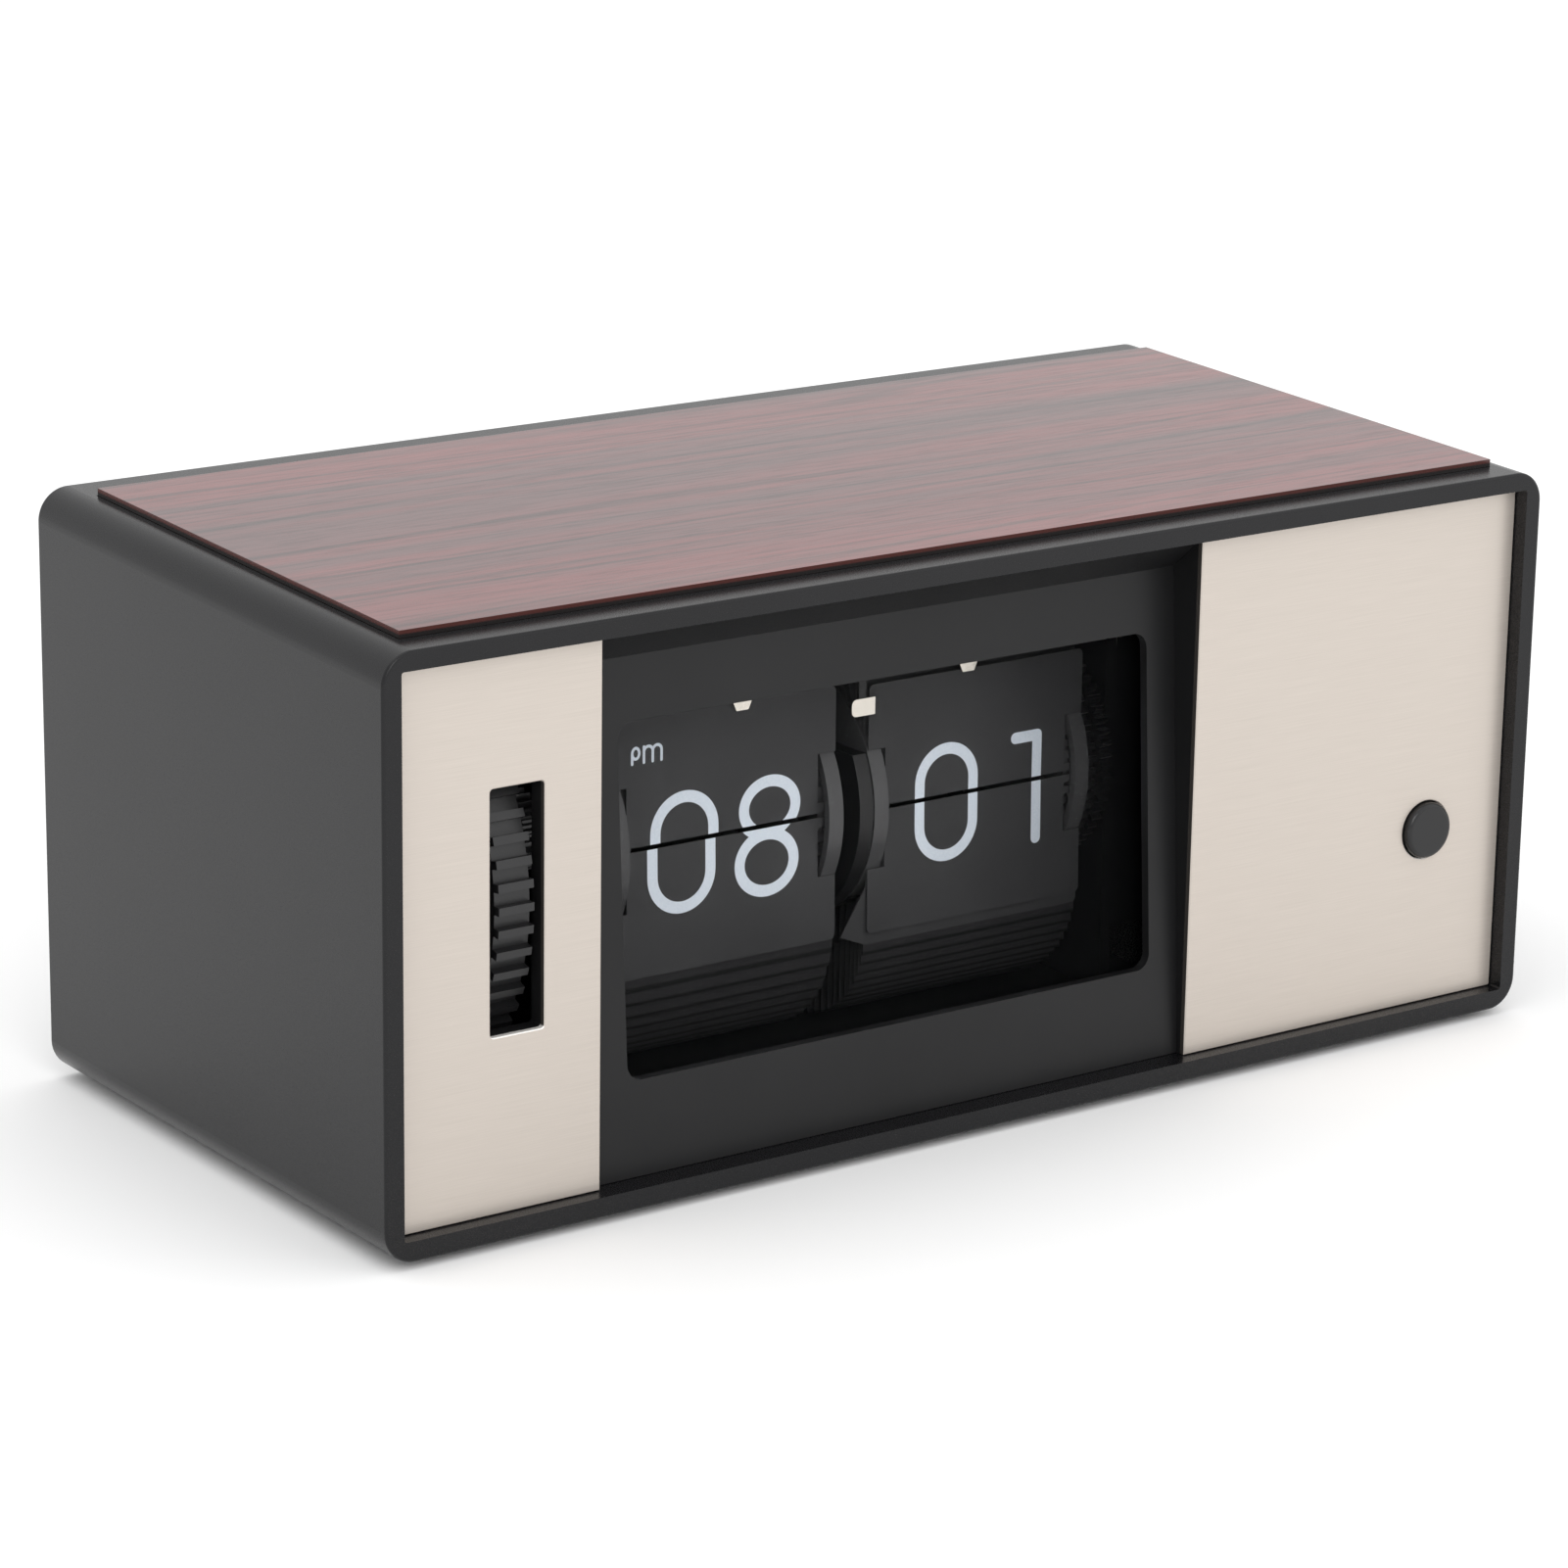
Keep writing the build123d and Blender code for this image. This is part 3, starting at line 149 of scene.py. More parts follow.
# Colour in 0 to 255, roughness, grains per metre, grain depth and sheen share of each plastic
plastics = {
    "case_plastic": ((19, 19, 21), 0.26, 5200.0, grain_middle, 0.3),
    "bezel_plastic": ((25, 25, 26), 0.4, 5200.0, grain_middle, 0.28),
    "foot_rubber": ((28, 28, 28), 0.75, 2600.0, grain_coarse, plain_sheen),
    "wheel_plastic": ((30, 30, 31), 0.34, 3600.0, grain_middle, plain_sheen),
    "button_plastic": ((22, 22, 23), 0.2, 4200.0, grain_fine, 0.44),
    "card_plastic": ((64, 64, 65), 0.45, 6500.0, grain_fine, 0.12),
    # A darker copy of the card plastic: painted shade for the fallen cards, which get little light
    "fallen_card_painted_shade": ((46, 46, 47), 0.45, 6500.0, grain_fine, 0.12),
    "drum_plastic": ((76, 76, 77), 0.24, 2600.0, grain_fine, 0.3),
    "gear_plastic": ((26, 26, 27), 0.35, 2600.0, grain_fine, plain_sheen),
    "toothed_ring_plastic": ((30, 30, 31), 0.32, 2600.0, grain_fine, plain_sheen),
    "frame_plastic": ((16, 16, 17), 0.5, 3600.0, grain_middle, plain_sheen),
    "circuit_board": ((124, 92, 52), 0.6, 1800.0, grain_middle, plain_sheen),
    "battery_wrap": ((60, 62, 66), 0.28, 1500.0, grain_fine, plain_sheen),
    # Black sheet that stands in for the shade behind the vents
    "vent_shade_sheet": ((14, 14, 15), 0.85, 3000.0, grain_coarse, 0.1),
}

# Colour in 0 to 255, lowest and highest roughness of each bright metal
metals = {
    "spring_steel": ((226, 220, 210), 0.16, 0.28),
    "shaft_steel": ((190, 190, 188), 0.25, 0.4),
    "motor_can": ((178, 178, 172), 0.3, 0.5),
    "screw_steel": ((70, 70, 72), 0.3, 0.45),
    "contact_brass": ((214, 200, 160), 0.25, 0.4),
}
scuff_features = 900.0
scuff_detail = 4.0
full_metal_share = 1.0

# Rosewood-look laminate; the dark veins and threads are waves that waver by the second number
wood_bands = ((1.5, 46.0, 46.0), 7.0, 0.3, 0.6)
wood_patches = ((4.0, 16.0, 16.0), 3.0, 0.3)
wood_veil = ((4.0, 34.0, 34.0), 2.0)
wood_hairs = ((3.0, 480.0, 480.0), 4.0, 0.4, 0.55)
wood_pores = ((110.0, 1500.0, 1500.0), 3.0)
wood_veins = ((2.6, 24.0, 24.0), 9.0)
wood_threads = ((3.6, 52.0, 52.0), 12.0)
patch_fade = ((0.35, 0.9), (0.65, 1.06))
vein_fade = ((0.0, 0.2), (0.05, 1.0))
veins_hidden_fade = ((0.42, 0.0), (0.62, 1.0))
thread_fade = ((0.0, 0.45), (0.06, 1.0))
threads_hidden_fade = ((0.4, 1.0), (0.56, 0.0))
hair_fade = ((0.36, 0.6), (0.48, 1.0))
hair_share = 0.6
pore_fade = ((0.34, 0.6), (0.5, 1.05))
pore_share = 0.7
pore_gloss_fade = ((noise_low, 0.22), (noise_high, 0.14))
wood_mean = (94, 60, 60)
wood_tones = ((0.34, (86, 57, 57)), (0.46, (97, 60, 60)), (0.56, (121, 58, 58)), (0.68, (108, 67, 65)))
wood_roughness = 0.18
wood_sheen = 0.65
wood_relief = 0.12

# Top face of the board, and its edges: red-brown film under the top face, with painted shadow below it
least_upward = 0.9
board_faces = nodes["wood_top_board"].data.polygons
board_top = max((face for face in board_faces if face.normal.z > least_upward), key=lambda face: face.area)
board_up = board_top.normal.copy()
board_level = board_up.dot(board_top.center)
edge_shade_depth = 0.0007
board_edge_shade_tones = ((0.0, (16, 10, 10)), (0.35, (76, 33, 28)))
board_top_fade = ((0.8, 0.0), (0.95, 1.0))

# Brushed champagne metal
brush_lines = ((90.0, 7600.0, 7600.0), 2.0)
brush_streaks = ((16.0, 1500.0, 1500.0), 3.0)
brush_streak_fade = ((noise_low, 0.99), (noise_high, 1.0))
# Painted highlight on edges that look up, and painted shade on edges that face along X
brush_highlight_fade = ((0.3, 0.0), (0.55, 1.0))
brush_end_shade_fade = ((0.75, 0.0), (0.9, 1.0))
brush_gloss_fade = ((noise_low, 0.32), (noise_high, 0.38))
brush_mean = (197, 188, 179)
brush_tones = ((noise_low, (194, 185, 176)), (noise_high, (200, 191, 182)))
brush_painted_highlight = (252, 249, 244)
brush_painted_end_shade = (74, 70, 66)
brush_roughness = 0.34
brush_metal_share = 0.4
brush_relief = 0.06

# Clear window and printing ink
window_tone = (20, 21, 22)
window_cover = 0.05
window_sheen = 0.2
window_roughness = 0.03
smear_features = 60.0
smear_detail = 3.0
smear_gloss_fade = ((0.4, 0.02), (0.8, 0.07))
ink_mean = (222, 231, 241)
ink_tones = ((noise_low, (216, 226, 237)), (noise_high, (228, 236, 245)))
ink_features = 3500.0
ink_detail = 2.0
ink_roughness = 0.5


def colour_of(red, green, blue):
    """Linear colour of an sRGB triple in 0 to 255."""
    levels = []
    for value in (red, green, blue):
        share = value / 255
        levels.append(share / 12.92 if share <= 0.04045 else ((share + 0.055) / 1.055) ** 2.4)
    return (*levels, 1.0)


def grey(level):
    """Linear grey."""
    return (level, level, level, 1.0)


def evenly(features):
    """The same number of features per metre along every axis."""
    return (features, features, features)


def new_material(name, tone, roughness, metallic=0.0):
    """A principled material; returns it with its tree and shader for more nodes."""
    material = bpy.data.materials.new(name)
    material.use_nodes = True
    tree = material.node_tree
    shader = tree.nodes["Principled BSDF"]
    shader.inputs["Base Color"].default_value = colour_of(*tone)
    shader.inputs["Roughness"].default_value = roughness
    shader.inputs["Metallic"].default_value = metallic
    return material, tree, shader


def own_place(tree):
    """Where a point is in the object's own coordinates."""
    return tree.nodes.new("ShaderNodeTexCoord").outputs["Object"]


def stretched(tree, features):
    """The object's own coordinates at the given number of features per metre along X, Y and Z."""
    mapping = tree.nodes.new("ShaderNodeMapping")
    mapping.inputs["Scale"].default_value = features
    tree.links.new(own_place(tree), mapping.inputs["Vector"])
    return mapping.outputs["Vector"]


def noise(tree, features, detail, distortion=0.0, roughness=0.5):
    """Noise of the given number of features per metre."""
    texture = tree.nodes.new("ShaderNodeTexNoise")
    texture.inputs["Scale"].default_value = 1.0
    texture.inputs["Detail"].default_value = detail
    texture.inputs["Roughness"].default_value = roughness
    texture.inputs["Distortion"].default_value = distortion
    tree.links.new(stretched(tree, features), texture.inputs["Vector"])
    return texture.outputs["Fac"]


def wave(tree, features, waver):
    """Bands across Y, pushed about by noise."""
    texture = tree.nodes.new("ShaderNodeTexWave")
    texture.bands_direction = "Y"
    texture.inputs["Scale"].default_value = 1.0
    texture.inputs["Distortion"].default_value = waver
    tree.links.new(stretched(tree, features), texture.inputs["Vector"])
    return texture.outputs["Fac"]


def ramp(tree, source, stops):
    """Colour ramp over a value; stops are pairs of place and colour."""
    node = tree.nodes.new("ShaderNodeValToRGB")
    elements = node.color_ramp.elements
    while len(elements) < len(stops):
        elements.new(0.5)
    for element, (position, colour) in zip(elements, stops):
        element.position = position
        element.color = colour
    tree.links.new(source, node.inputs["Fac"])
    return node.outputs["Color"]


def tinted(tree, source, tones):
    """Colour ramp over a value; tones are pairs of place and sRGB colour."""
    return ramp(tree, source, [(position, colour_of(*tone)) for position, tone in tones])


def fade(tree, source, start, end):
    """Grey ramp between two pairs of value and level."""
    return ramp(tree, source, [(value, grey(level)) for value, level in (start, end)])


def mix(tree, factor, first, second, blend="MIX"):
    """Mixes two colours by a value or a linked factor."""
    node = tree.nodes.new("ShaderNodeMix")
    node.data_type = "RGBA"
    node.blend_type = blend
    if isinstance(factor, float):
        node.inputs["Factor"].default_value = factor
    else:
        tree.links.new(factor, node.inputs["Factor"])
    for name, colour in (("A", first), ("B", second)):
        target = [socket for socket in node.inputs if socket.name == name and socket.type == "RGBA"][0]
        if isinstance(colour, tuple):
            target.default_value = colour
        else:
            tree.links.new(colour, target)
    return [socket for socket in node.outputs if socket.type == "RGBA"][0]


def shaded(tree, colour, shade, share=1.0):
    """A colour darkened by a grey, by the given share."""
    return mix(tree, share, colour, shade, "MULTIPLY")


def arithmetic(tree, operation, first, second=0.0):
    """One operation on numbers or linked values."""
    node = tree.nodes.new("ShaderNodeMath")
    node.operation = operation
    for socket, value in zip(node.inputs, (first, second)):
        if isinstance(value, float):
            socket.default_value = value
        else:
            tree.links.new(value, socket)
    return node.outputs["Value"]


def parts_of(tree, vector):
    """X, Y and Z of a linked vector."""
    split = tree.nodes.new("ShaderNodeSeparateXYZ")
    tree.links.new(vector, split.inputs["Vector"])
    return split.outputs


def facing(tree):
    """X, Y and Z of the way a face looks, for edges that differ from the faces beside them."""
    return parts_of(tree, tree.nodes.new("ShaderNodeNewGeometry").outputs["True Normal"])


def bump(tree, shader, source, strength, distance):
    """Fine relief from a value."""
    node = tree.nodes.new("ShaderNodeBump")
    node.inputs["Strength"].default_value = strength
    node.inputs["Distance"].default_value = distance
    tree.links.new(source, node.inputs["Height"])
    tree.links.new(node.outputs["Normal"], shader.inputs["Normal"])


def moulded(name, tone, roughness, grain_features, grain_depth, sheen_share):
    """Plastic or rubber with spark-eroded grain, slightly uneven in gloss and tone."""
    material, tree, shader = new_material(name, tone, roughness)
    shader.inputs["Specular IOR Level"].default_value = sheen_share
    grain = noise(tree, evenly(grain_features), grain_detail)
    cloud = noise(tree, evenly(cloud_features), cloud_detail)
    colour = colour_of(*tone)[:3]
    dark = tuple(channel * (1 - tone_swing) for channel in colour) + (1.0,)
    light = tuple(channel * (1 + tone_swing) for channel in colour) + (1.0,)
    tree.links.new(ramp(tree, cloud, ((noise_low, dark), (noise_high, light))), shader.inputs["Base Color"])
    low_gloss = (grain_low, roughness - gloss_swing)
    high_gloss = (grain_high, roughness + gloss_swing)
    tree.links.new(fade(tree, grain, low_gloss, high_gloss), shader.inputs["Roughness"])
    bump(tree, shader, grain, grain_strength, grain_depth)
    return material


def make_wood():
    """Streaky red and brown bands under thin dark veins along X, with red-brown edges that darken into
    painted shadow lower down.
    """
    material, tree, shader = new_material("rosewood_laminate", wood_mean, wood_roughness)
    veil = noise(tree, *wood_veil)
    pores = noise(tree, *wood_pores)
    colour = tinted(tree, noise(tree, *wood_bands), wood_tones)
    colour = shaded(tree, colour, fade(tree, noise(tree, *wood_patches), *patch_fade))
    # Veins and threads each fade out where the veil hides them
    vein = fade(tree, wave(tree, *wood_veins), *vein_fade)
    thread = fade(tree, wave(tree, *wood_threads), *thread_fade)
    veins_hidden = fade(tree, veil, *veins_hidden_fade)
    threads_hidden = fade(tree, veil, *threads_hidden_fade)
    colour = shaded(tree, colour, mix(tree, veins_hidden, vein, grey(1.0)))
    colour = shaded(tree, colour, mix(tree, threads_hidden, thread, grey(1.0)))
    colour = shaded(tree, colour, fade(tree, noise(tree, *wood_hairs), *hair_fade), hair_share)
    colour = shaded(tree, colour, fade(tree, pores, *pore_fade), pore_share)
    # Edges: red-brown film near the top and painted shadow lower down, by the depth under the sloping top
    # face
    height = tree.nodes.new("ShaderNodeVectorMath")
    height.operation = "DOT_PRODUCT"
    height.inputs[1].default_value = board_up
    tree.links.new(own_place(tree), height.inputs[0])
    depth = tree.nodes.new("ShaderNodeMapRange")
    depth.inputs["From Min"].default_value = board_level - edge_shade_depth
    depth.inputs["From Max"].default_value = board_level
    tree.links.new(height.outputs["Value"], depth.inputs["Value"])
    edge = tinted(tree, depth.outputs["Result"], board_edge_shade_tones)
    on_top = fade(tree, facing(tree)["Z"], *board_top_fade)
    tree.links.new(mix(tree, on_top, edge, colour), shader.inputs["Base Color"])
    shader.inputs["Specular IOR Level"].default_value = wood_sheen
    tree.links.new(fade(tree, pores, *pore_gloss_fade), shader.inputs["Roughness"])
    bump(tree, shader, pores, wood_relief, grain_middle)
    return material


def make_brushed():
    """Champagne metal, very finely brushed along X, with a painted highlight on edges that look up and
    painted shade on edges that face along X.
    """
    material, tree, shader = new_material("champagne_metal", brush_mean, brush_roughness, brush_metal_share)
    lines = noise(tree, *brush_lines)
    colour = tinted(tree, lines, brush_tones)
    colour = shaded(tree, colour, fade(tree, noise(tree, *brush_streaks), *brush_streak_fade))
    # Painted highlight on upward edges and painted shade on the ends
    way = facing(tree)
    upward = fade(tree, way["Z"], *brush_highlight_fade)
    sideways = fade(tree, arithmetic(tree, "ABSOLUTE", way["X"]), *brush_end_shade_fade)
    colour = mix(tree, upward, colour, colour_of(*brush_painted_highlight))
    colour = mix(tree, sideways, colour, colour_of(*brush_painted_end_shade))
    tree.links.new(colour, shader.inputs["Base Color"])
    tree.links.new(fade(tree, lines, *brush_gloss_fade), shader.inputs["Roughness"])
    bump(tree, shader, lines, brush_relief, grain_fine)
    return material


def make_metal(name, tone, low_roughness, high_roughness):
    """Bright metal of the small parts, lightly scuffed."""
    material, tree, shader = new_material(name, tone, low_roughness, full_metal_share)
    scuff = noise(tree, evenly(scuff_features), scuff_detail)
    gloss = fade(tree, scuff, (noise_low, low_roughness), (noise_high, high_roughness))
    tree.links.new(gloss, shader.inputs["Roughness"])
    return material


def make_window():
    """Clear plastic with a reflection-reducing coat: almost all light goes straight through."""
    material, tree, shader = new_material("clear_window", window_tone, window_roughness)
    shader.inputs["Alpha"].default_value = window_cover
    shader.inputs["Specular IOR Level"].default_value = window_sheen
    smear = noise(tree, evenly(smear_features), smear_detail)
    tree.links.new(fade(tree, smear, *smear_gloss_fade), shader.inputs["Roughness"])
    return material


def make_ink():
    """Printing ink of the digits."""
    material, tree, shader = new_material("digit_ink", ink_mean, ink_roughness)
    grain = noise(tree, evenly(ink_features), ink_detail)
    tree.links.new(tinted(tree, grain, ink_tones), shader.inputs["Base Color"])
    return material


def paint_card_end_shade(material):
    """Painted shade: a dark line at the lower end of each fallen card, standing in for the shadow in the gap
    between the cards.

    The cards hang straight down from pivots on the drum's circle, so their ends lie on that circle,
    lowered by the reach of a card.
    """
    tree = material.node_tree
    shader = tree.nodes["Principled BSDF"]
    colour = shader.inputs["Base Color"].links[0].from_socket
    spoke = minute_hinge - shaft_middle
    radius_squared = spoke.y ** 2 + spoke.z ** 2
    point = parts_of(tree, own_place(tree))
    across = arithmetic(tree, "SUBTRACT", point["Y"], shaft_middle.y)
    drop_squared = arithmetic(tree, "SUBTRACT", radius_squared, arithmetic(tree, "MULTIPLY", across, across))
    drop = arithmetic(tree, "SQRT", drop_squared)
    level = arithmetic(tree, "SUBTRACT", point["Z"], shaft_middle.z - card_reach)
    above_end = arithmetic(tree, "DIVIDE", arithmetic(tree, "ADD", level, drop), end_shade_height)
    line = fade(tree, above_end, *end_shade_fade)
    tree.links.new(shaded(tree, colour, line), shader.inputs["Base Color"])


materials = {name: moulded(name, *finish) for name, finish in plastics.items()}
materials.update({name: make_metal(name, *finish) for name, finish in metals.items()})
materials["rosewood_laminate"] = make_wood()
materials["champagne_metal"] = make_brushed()
materials["clear_window"] = make_window()
materials["digit_ink"] = make_ink()
# Painted shade line at the ends of the fallen cards
paint_card_end_shade(materials["fallen_card_painted_shade"])

# Every node takes the finish of its slot, but the fallen cards take a darker copy of the card plastic as
# painted shade; curved faces are smoothed, edges stay sharp
sharp_angle = radians(32)
for part in frame["record"]["subparts"]:
    node = nodes[part["node"]]
    # Fallen cards take the darker copy of the card plastic, which is painted shade
    fallen = part["node"].endswith("fallen_cards")
    finish = materials["fallen_card_painted_shade" if fallen else part["material_slot"]]
    node.data.materials.clear()
    node.data.materials.append(finish)
    for polygon in node.data.polygons:
        polygon.use_smooth = True
    node.data.set_sharp_from_angle(angle=sharp_angle)


# Lines of points in X and Z along the middle of each stroke
def arc(middle_x, middle_z, radius_x, radius_z, start, end, steps=half_ring_steps):
    """Points on an ellipse between two angles in degrees, counted from +X towards +Z."""
    turns = [radians(start + (end - start) * step / steps) for step in range(steps + 1)]
    return [(middle_x + radius_x * cos(turn), middle_z + radius_z * sin(turn)) for turn in turns]


def zero(left, right, low, high):
    """Ring with straight sides and half-round ends."""
    radius = (right - left) / 2
    middle = (left + right) / 2
    top = arc(middle, high - radius, radius, radius, 0, 180)
    foot = arc(middle, low + radius, radius, radius, 180, 360)
    return [top + foot + top[:1]]


def eight(left, right, low, high):
    """Two round loops that share the stroke at the waist, the upper one a little narrower."""
    waist = low + (high - low) * waist_height_share
    middle = (left + right) / 2
    wide = (right - left) / 2
    narrow = wide * upper_loop_share
    upper = arc(middle, (waist + high) / 2, narrow, (high - waist) / 2, -90, 270, loop_steps)
    lower = arc(middle, (low + waist) / 2, wide, (waist - low) / 2, 90, 450, loop_steps)
    return [upper, lower]


def one(left, right, low, high):
    """Stem with a flag to the left and a round outer corner."""
    return [[(left, high), (right, high)], [(right, high), (right, low)]]


def two(left, right, low, high):
    """Round head, slanting neck and flat foot."""
    radius = (right - left) / 2
    head = arc((left + right) / 2, high - radius, radius, radius, two_head_start, two_head_end)
    return [head + [(left, low), (right, low)]]


def letter_p(left, right, low, high, bowl_low):
    """Stem with a round bowl at its top."""
    bowl_middle = (bowl_low + high) / 2
    middle = (left + right) / 2
    bowl = arc(middle, bowl_middle, (right - left) / 2, (high - bowl_low) / 2, 180, -180)
    return [[(left, low), (left, bowl_middle)], bowl]


def letter_m(left, right, low, high):
    """Three legs under two round arches."""
    span = (right - left) / 2
    shoulder = high - span / 2
    lines = [[(left, low), (left, high)]]
    for start in (left, left + span):
        arch = arc(start + span / 2, shoulder, span / 2, span / 2, 180, 0, arch_steps)
        lines.append(arch + [(start + span, low)])
    return lines


def digit(shape, left, right, high=digit_high):
    """Middle lines of a digit whose outer edges are given."""
    half = stroke / 2
    return shape(left + half, right - half, digit_low + half, high - half)


# Flat meshes of the strokes
def ribbon(points, width, closed):
    """Left and right edges of a ribbon along a line of points, with corners kept at full width."""
    edges = []
    count = len(points)
    for index, point in enumerate(points):
        before = points[index - 1] if index or closed else None
        after = points[(index + 1) % count] if index < count - 1 or closed else None
        normals = []
        for start, end in ((before, point), (point, after)):
            if start is None or end is None:
                continue
            step = Vector((end[0] - start[0], end[1] - start[1]))
            if step.length:
                normals.append(Vector((-step.y, step.x)).normalized())
        normal = sum(normals, Vector((0, 0))).normalized()
        offset = normal * (width / 2 / max(normal.dot(normals[0]), least_corner_cosine))
        middle = Vector(point)
        edges.append((middle + offset, middle - offset))
    return edges


def round_end(point, towards, width):
    """Half-round cap of a stroke's open end, as a fan of points."""
    direction = (Vector(point) - Vector(towards)).normalized()
    side = Vector((-direction.y, direction.x))
    turns = [pi * step / end_steps for step in range(end_steps + 1)]
    return [Vector(point) + (side * cos(turn) + direction * sin(turn)) * width / 2 for turn in turns]


def stroke_mesh(strokes, width):
    """Flat mesh in X and Z of all strokes; Y counts the strokes, which may cross."""
    mesh = bmesh.new()
    for layer, points in enumerate(strokes):
        closed = (Vector(points[0]) - Vector(points[-1])).length < width * closing_share
        line = points[:-1] if closed else points
        rails = []
        for pair in ribbon(line, width, closed):
            rails.append([mesh.verts.new((place.x, layer, place.y)) for place in pair])
        last = len(rails) if closed else len(rails) - 1
        for index in range(last):
            first, second = rails[index], rails[(index + 1) % len(rails)]
            mesh.faces.new((first[0], first[1], second[1], second[0]))
        if not closed:
            for point, towards in ((line[0], line[1]), (line[-1], line[-2])):
                fan = round_end(point, towards, width)
                mesh.faces.new([mesh.verts.new((place.x, layer, place.y)) for place in fan])
    return mesh


def keep_side(mesh, height, upper):
    """Cuts the mesh at a height and keeps the upper or the lower side."""
    everything = mesh.verts[:] + mesh.edges[:] + mesh.faces[:]
    bmesh.ops.bisect_plane(
        mesh,
        geom=everything,
        plane_co=(0, 0, height),
        plane_no=(0, 0, 1),
        clear_inner=upper,
        clear_outer=not upper,
    )


# Places of the cards: a hinge is turned about the shaft by whole card pitches
def turned_hinge(hinge, pitch):
    """Hinge of the card that waits one pitch further round, or hangs one pitch back."""
    spoke = hinge - shaft_middle
    radius = Vector((spoke.y, spoke.z)).length
    turn = atan2(spoke.z, -spoke.y) + radians(pitch)
    return Vector((0, shaft_middle.y - radius * cos(turn), shaft_middle.z + radius * sin(turn)))


def print_half(name, strokes, width, split, upper, card, shown_hinge, body, back=False):
    """Prints one half of a number on a card's front or back and lets it ride with the card's body.

    The card is its hinge and its lean in degrees; shown_hinge is where that hinge is when the half is read.
    """
    mesh = stroke_mesh(strokes, width)
    keep_side(mesh, split, upper)
    hinge, lean = card
    across = Vector((1, 0, 0))
    along = Vector((0, sin(radians(lean)), cos(radians(lean))))
    outward = along.cross(across)
    if (outward.y > 0) != back:
        outward = -outward
    for vertex in mesh.verts:
        rise = vertex.co.z - shown_hinge.z if upper else shown_hinge.z - vertex.co.z
        lift = card_half_thickness + print_lift + vertex.co.y * ink_layer
        vertex.co = Vector((0, hinge.y, hinge.z)) + across * vertex.co.x + along * rise + outward * lift
    data = bpy.data.meshes.new(name)
    mesh.normal_update()
    if mesh.faces[:] and mesh.faces[:][0].normal.dot(outward) < 0:
        bmesh.ops.reverse_faces(mesh, faces=mesh.faces[:])
    mesh.to_mesh(data)
    mesh.free()
    data.materials.append(materials["digit_ink"])
    piece = bpy.data.objects.new(name, data)
    bpy.context.scene.collection.objects.link(piece)
    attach(piece, body)


def moved(strokes, shift):
    """Strokes moved along X."""
    return [[(x + shift, z) for x, z in line] for line in strokes]


def print_number(name, shown, following, hinge, pitch, lower_shift=0):
    """The number shown, and the next one on the first waiting card and on the back of the top flap."""
    low_hinge = turned_hinge(hinge, -pitch)
    split = (hinge.z + low_hinge.z) / 2
    above = split + split_half_gap
    below = split - split_half_gap
    top_card = (hinge, top_lean)
    low_card = (low_hinge, lower_lean)
    next_card = (turned_hinge(hinge, pitch), top_lean + pitch)
    flap = name + "_top_flap"
    print_half(name + "_upper_digits", shown, stroke, above, True, top_card, hinge, flap)
    lowered = moved(shown, lower_shift)
    print_half(name + "_lower_digits", lowered, stroke, below, False, low_card, low_hinge, "case")
    print_half(name + "_next_upper_digits", following, stroke, above, True, next_card, hinge, "case")
    back = name + "_next_lower_digits"
    print_half(back, following, stroke, below, False, top_card, low_hinge, flap, True)


hour_zero = digit(zero, hour_zero_left, hour_zero_right)
hour_eight = digit(eight, hour_eight_left, hour_eight_right)
minute_zero = digit(zero, minute_zero_left, minute_zero_right)
minute_one = digit(one, minute_one_left, minute_one_right, one_high)
minute_two = digit(two, next_two_left, next_two_right)
hour_digits = hour_zero + hour_eight
print_number("hour", hour_digits, hour_digits, hour_hinge, hour_pitch, hour_lower_shift)
print_number("minute", minute_zero + minute_one, minute_zero + minute_two, minute_hinge, minute_pitch)

letter_half = letter_stroke / 2
letter_floor = letter_low + letter_half
letter_roof = letter_high - letter_half
letters = letter_p(
    letter_p_left + letter_half,
    letter_p_right - letter_half,
    letter_floor,
    letter_roof,
    letter_p_bowl_low,
)
letters += letter_m(letter_m_left + letter_half, letter_m_right - letter_half, letter_floor, letter_roof)
top_card = (hour_hinge, top_lean)
next_card = (turned_hinge(hour_hinge, hour_pitch), top_lean + hour_pitch)
print_half("hour_letters", letters, letter_stroke, hour_hinge.z, True, top_card, hour_hinge, "hour_top_flap")
print_half("hour_next_letters", letters, letter_stroke, hour_hinge.z, True, next_card, hour_hinge, "case")

# Black sheet on the inside of the rear cover, a dark sheet that stands in for shade, so that the vents show
# no light from the other side
cover_low, cover_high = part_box("rear_cover")
vents_x = cover_low.x + (cover_high.x - cover_low.x) * vent_place_share
vents_z = (cover_low.z + cover_high.z) / 2
outline = []
for start, side_x, side_z in ((0, 1, 1), (90, -1, 1), (180, -1, -1), (270, 1, -1)):
    corner_x = vents_x + side_x * (cloth_width / 2 - cloth_corner)
    corner_z = vents_z + side_z * (cloth_height / 2 - cloth_corner)
    outline += arc(corner_x, corner_z, cloth_corner, cloth_corner, start, start + 90, corner_steps)
cloth_mesh = bmesh.new()
cloth_face = cloth_mesh.faces.new([cloth_mesh.verts.new((x, cover_low.y, z)) for x, z in outline])
grown = bmesh.ops.extrude_face_region(cloth_mesh, geom=[cloth_face])["geom"]
moved_points = [item for item in grown if isinstance(item, bmesh.types.BMVert)]
bmesh.ops.translate(cloth_mesh, vec=(0, -cloth_thickness, 0), verts=moved_points)
bmesh.ops.recalc_face_normals(cloth_mesh, faces=cloth_mesh.faces[:])
cloth_data = bpy.data.meshes.new("vent_painted_shade_sheet")
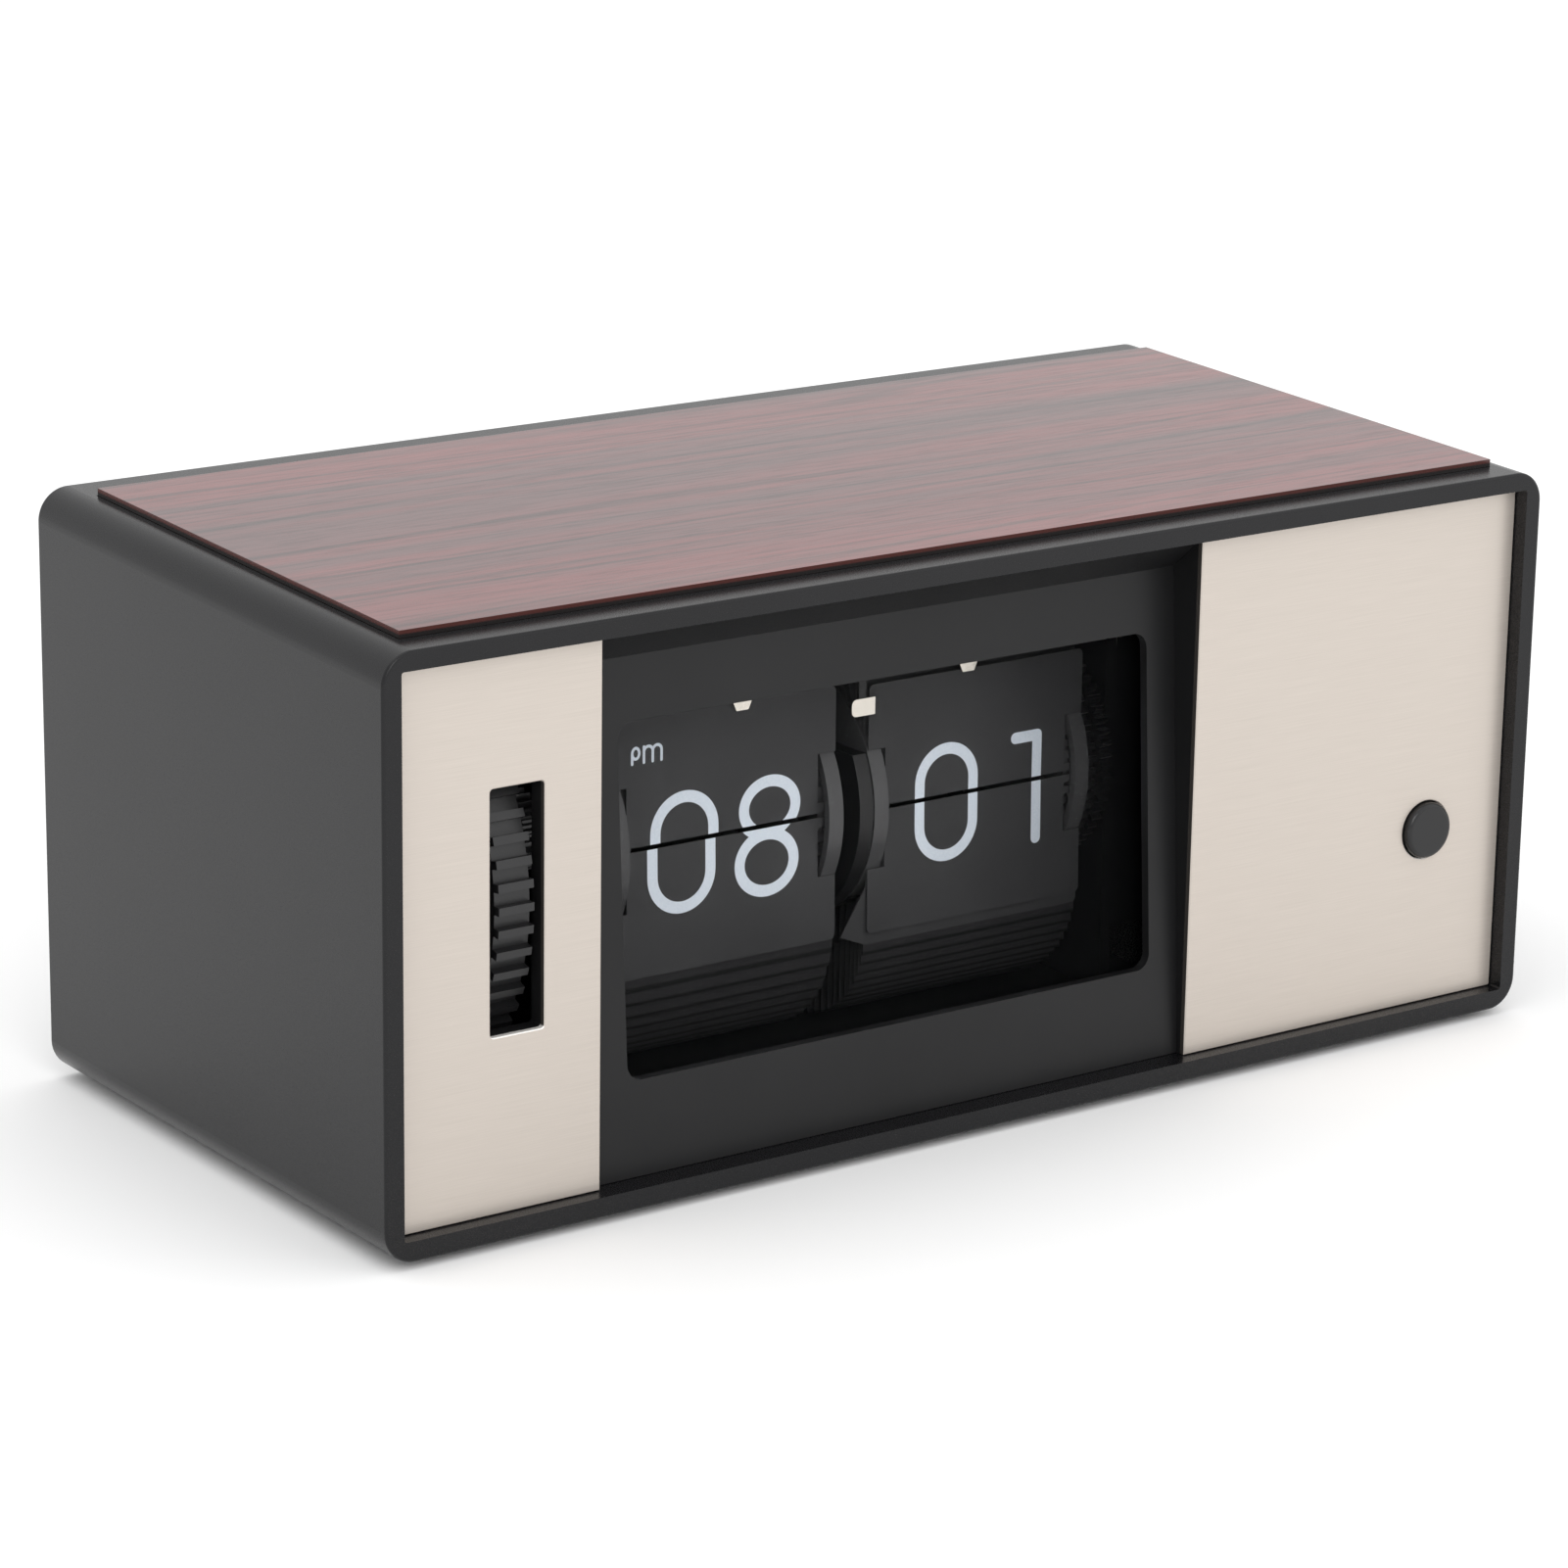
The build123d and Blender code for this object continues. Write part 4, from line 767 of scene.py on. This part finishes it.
cloth_mesh.to_mesh(cloth_data)
cloth_mesh.free()
cloth_data.materials.append(materials["vent_shade_sheet"])
cloth = bpy.data.objects.new("vent_painted_shade_sheet", cloth_data)
bpy.context.scene.collection.objects.link(cloth)
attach(cloth, "case")

# Camera
turn = radians(camera_turn)
tilt = radians(camera_tilt)
roll = radians(camera_roll)
ahead = Vector((sin(turn) * cos(tilt), cos(turn) * cos(tilt), -sin(tilt)))
level_right = ahead.cross(Vector((0, 0, 1))).normalized()
level_down = ahead.cross(level_right)
picture_right = level_right * cos(roll) + level_down * sin(roll)
picture_down = level_down * cos(roll) - level_right * sin(roll)
camera_data = bpy.data.cameras.new("camera")
camera_data.sensor_width = camera_sensor
camera_data.lens = camera_lens
camera_data.clip_start = camera_near
camera = bpy.data.objects.new("camera", camera_data)
axes = Matrix((picture_right, -picture_down, -ahead)).transposed().to_4x4()
camera.matrix_world = Matrix.Translation(camera_place) @ axes
bpy.context.scene.collection.objects.link(camera)
bpy.context.scene.camera = camera

# Pale floor
floor_data = bpy.data.meshes.new("floor")
corners = [(-floor_reach, -floor_reach, 0), (floor_reach, -floor_reach, 0)]
corners += [(floor_reach, floor_reach, 0), (-floor_reach, floor_reach, 0)]
floor_data.from_pydata(corners, [], [(0, 1, 2, 3)])
floor = bpy.data.objects.new("floor", floor_data)
bpy.context.scene.collection.objects.link(floor)
floor_material, _, floor_shader = new_material("floor_white", (255, 255, 255), floor_roughness)
floor_shader.inputs["Base Color"].default_value = grey(floor_tone)
floor_shader.inputs["Specular IOR Level"].default_value = 0.0
floor_data.materials.append(floor_material)

# Even white surroundings
world = bpy.data.worlds.new("studio")
bpy.context.scene.world = world
world.use_nodes = True
surroundings = world.node_tree.nodes["Background"]
surroundings.inputs["Color"].default_value = grey(surroundings_tone)
surroundings.inputs["Strength"].default_value = surroundings_strength


# Soft lamps
def soft_lamp(name, place, size, power):
    """Square area lamp aimed at the object."""
    data = bpy.data.lights.new(name, "AREA")
    data.shape = "SQUARE"
    data.size = size
    data.energy = power
    lamp = bpy.data.objects.new(name, data)
    lamp.location = place
    lamp.rotation_euler = (lamp_target - place).to_track_quat("-Z", "Y").to_euler()
    bpy.context.scene.collection.objects.link(lamp)


soft_lamp("front_lamp", front_lamp_place, front_lamp_size, front_lamp_power)
soft_lamp("left_lamp", left_lamp_place, left_lamp_size, left_lamp_power)
soft_lamp("top_lamp", top_lamp_place, top_lamp_size, top_lamp_power)

bpy.context.scene.view_settings.view_transform = "Standard"
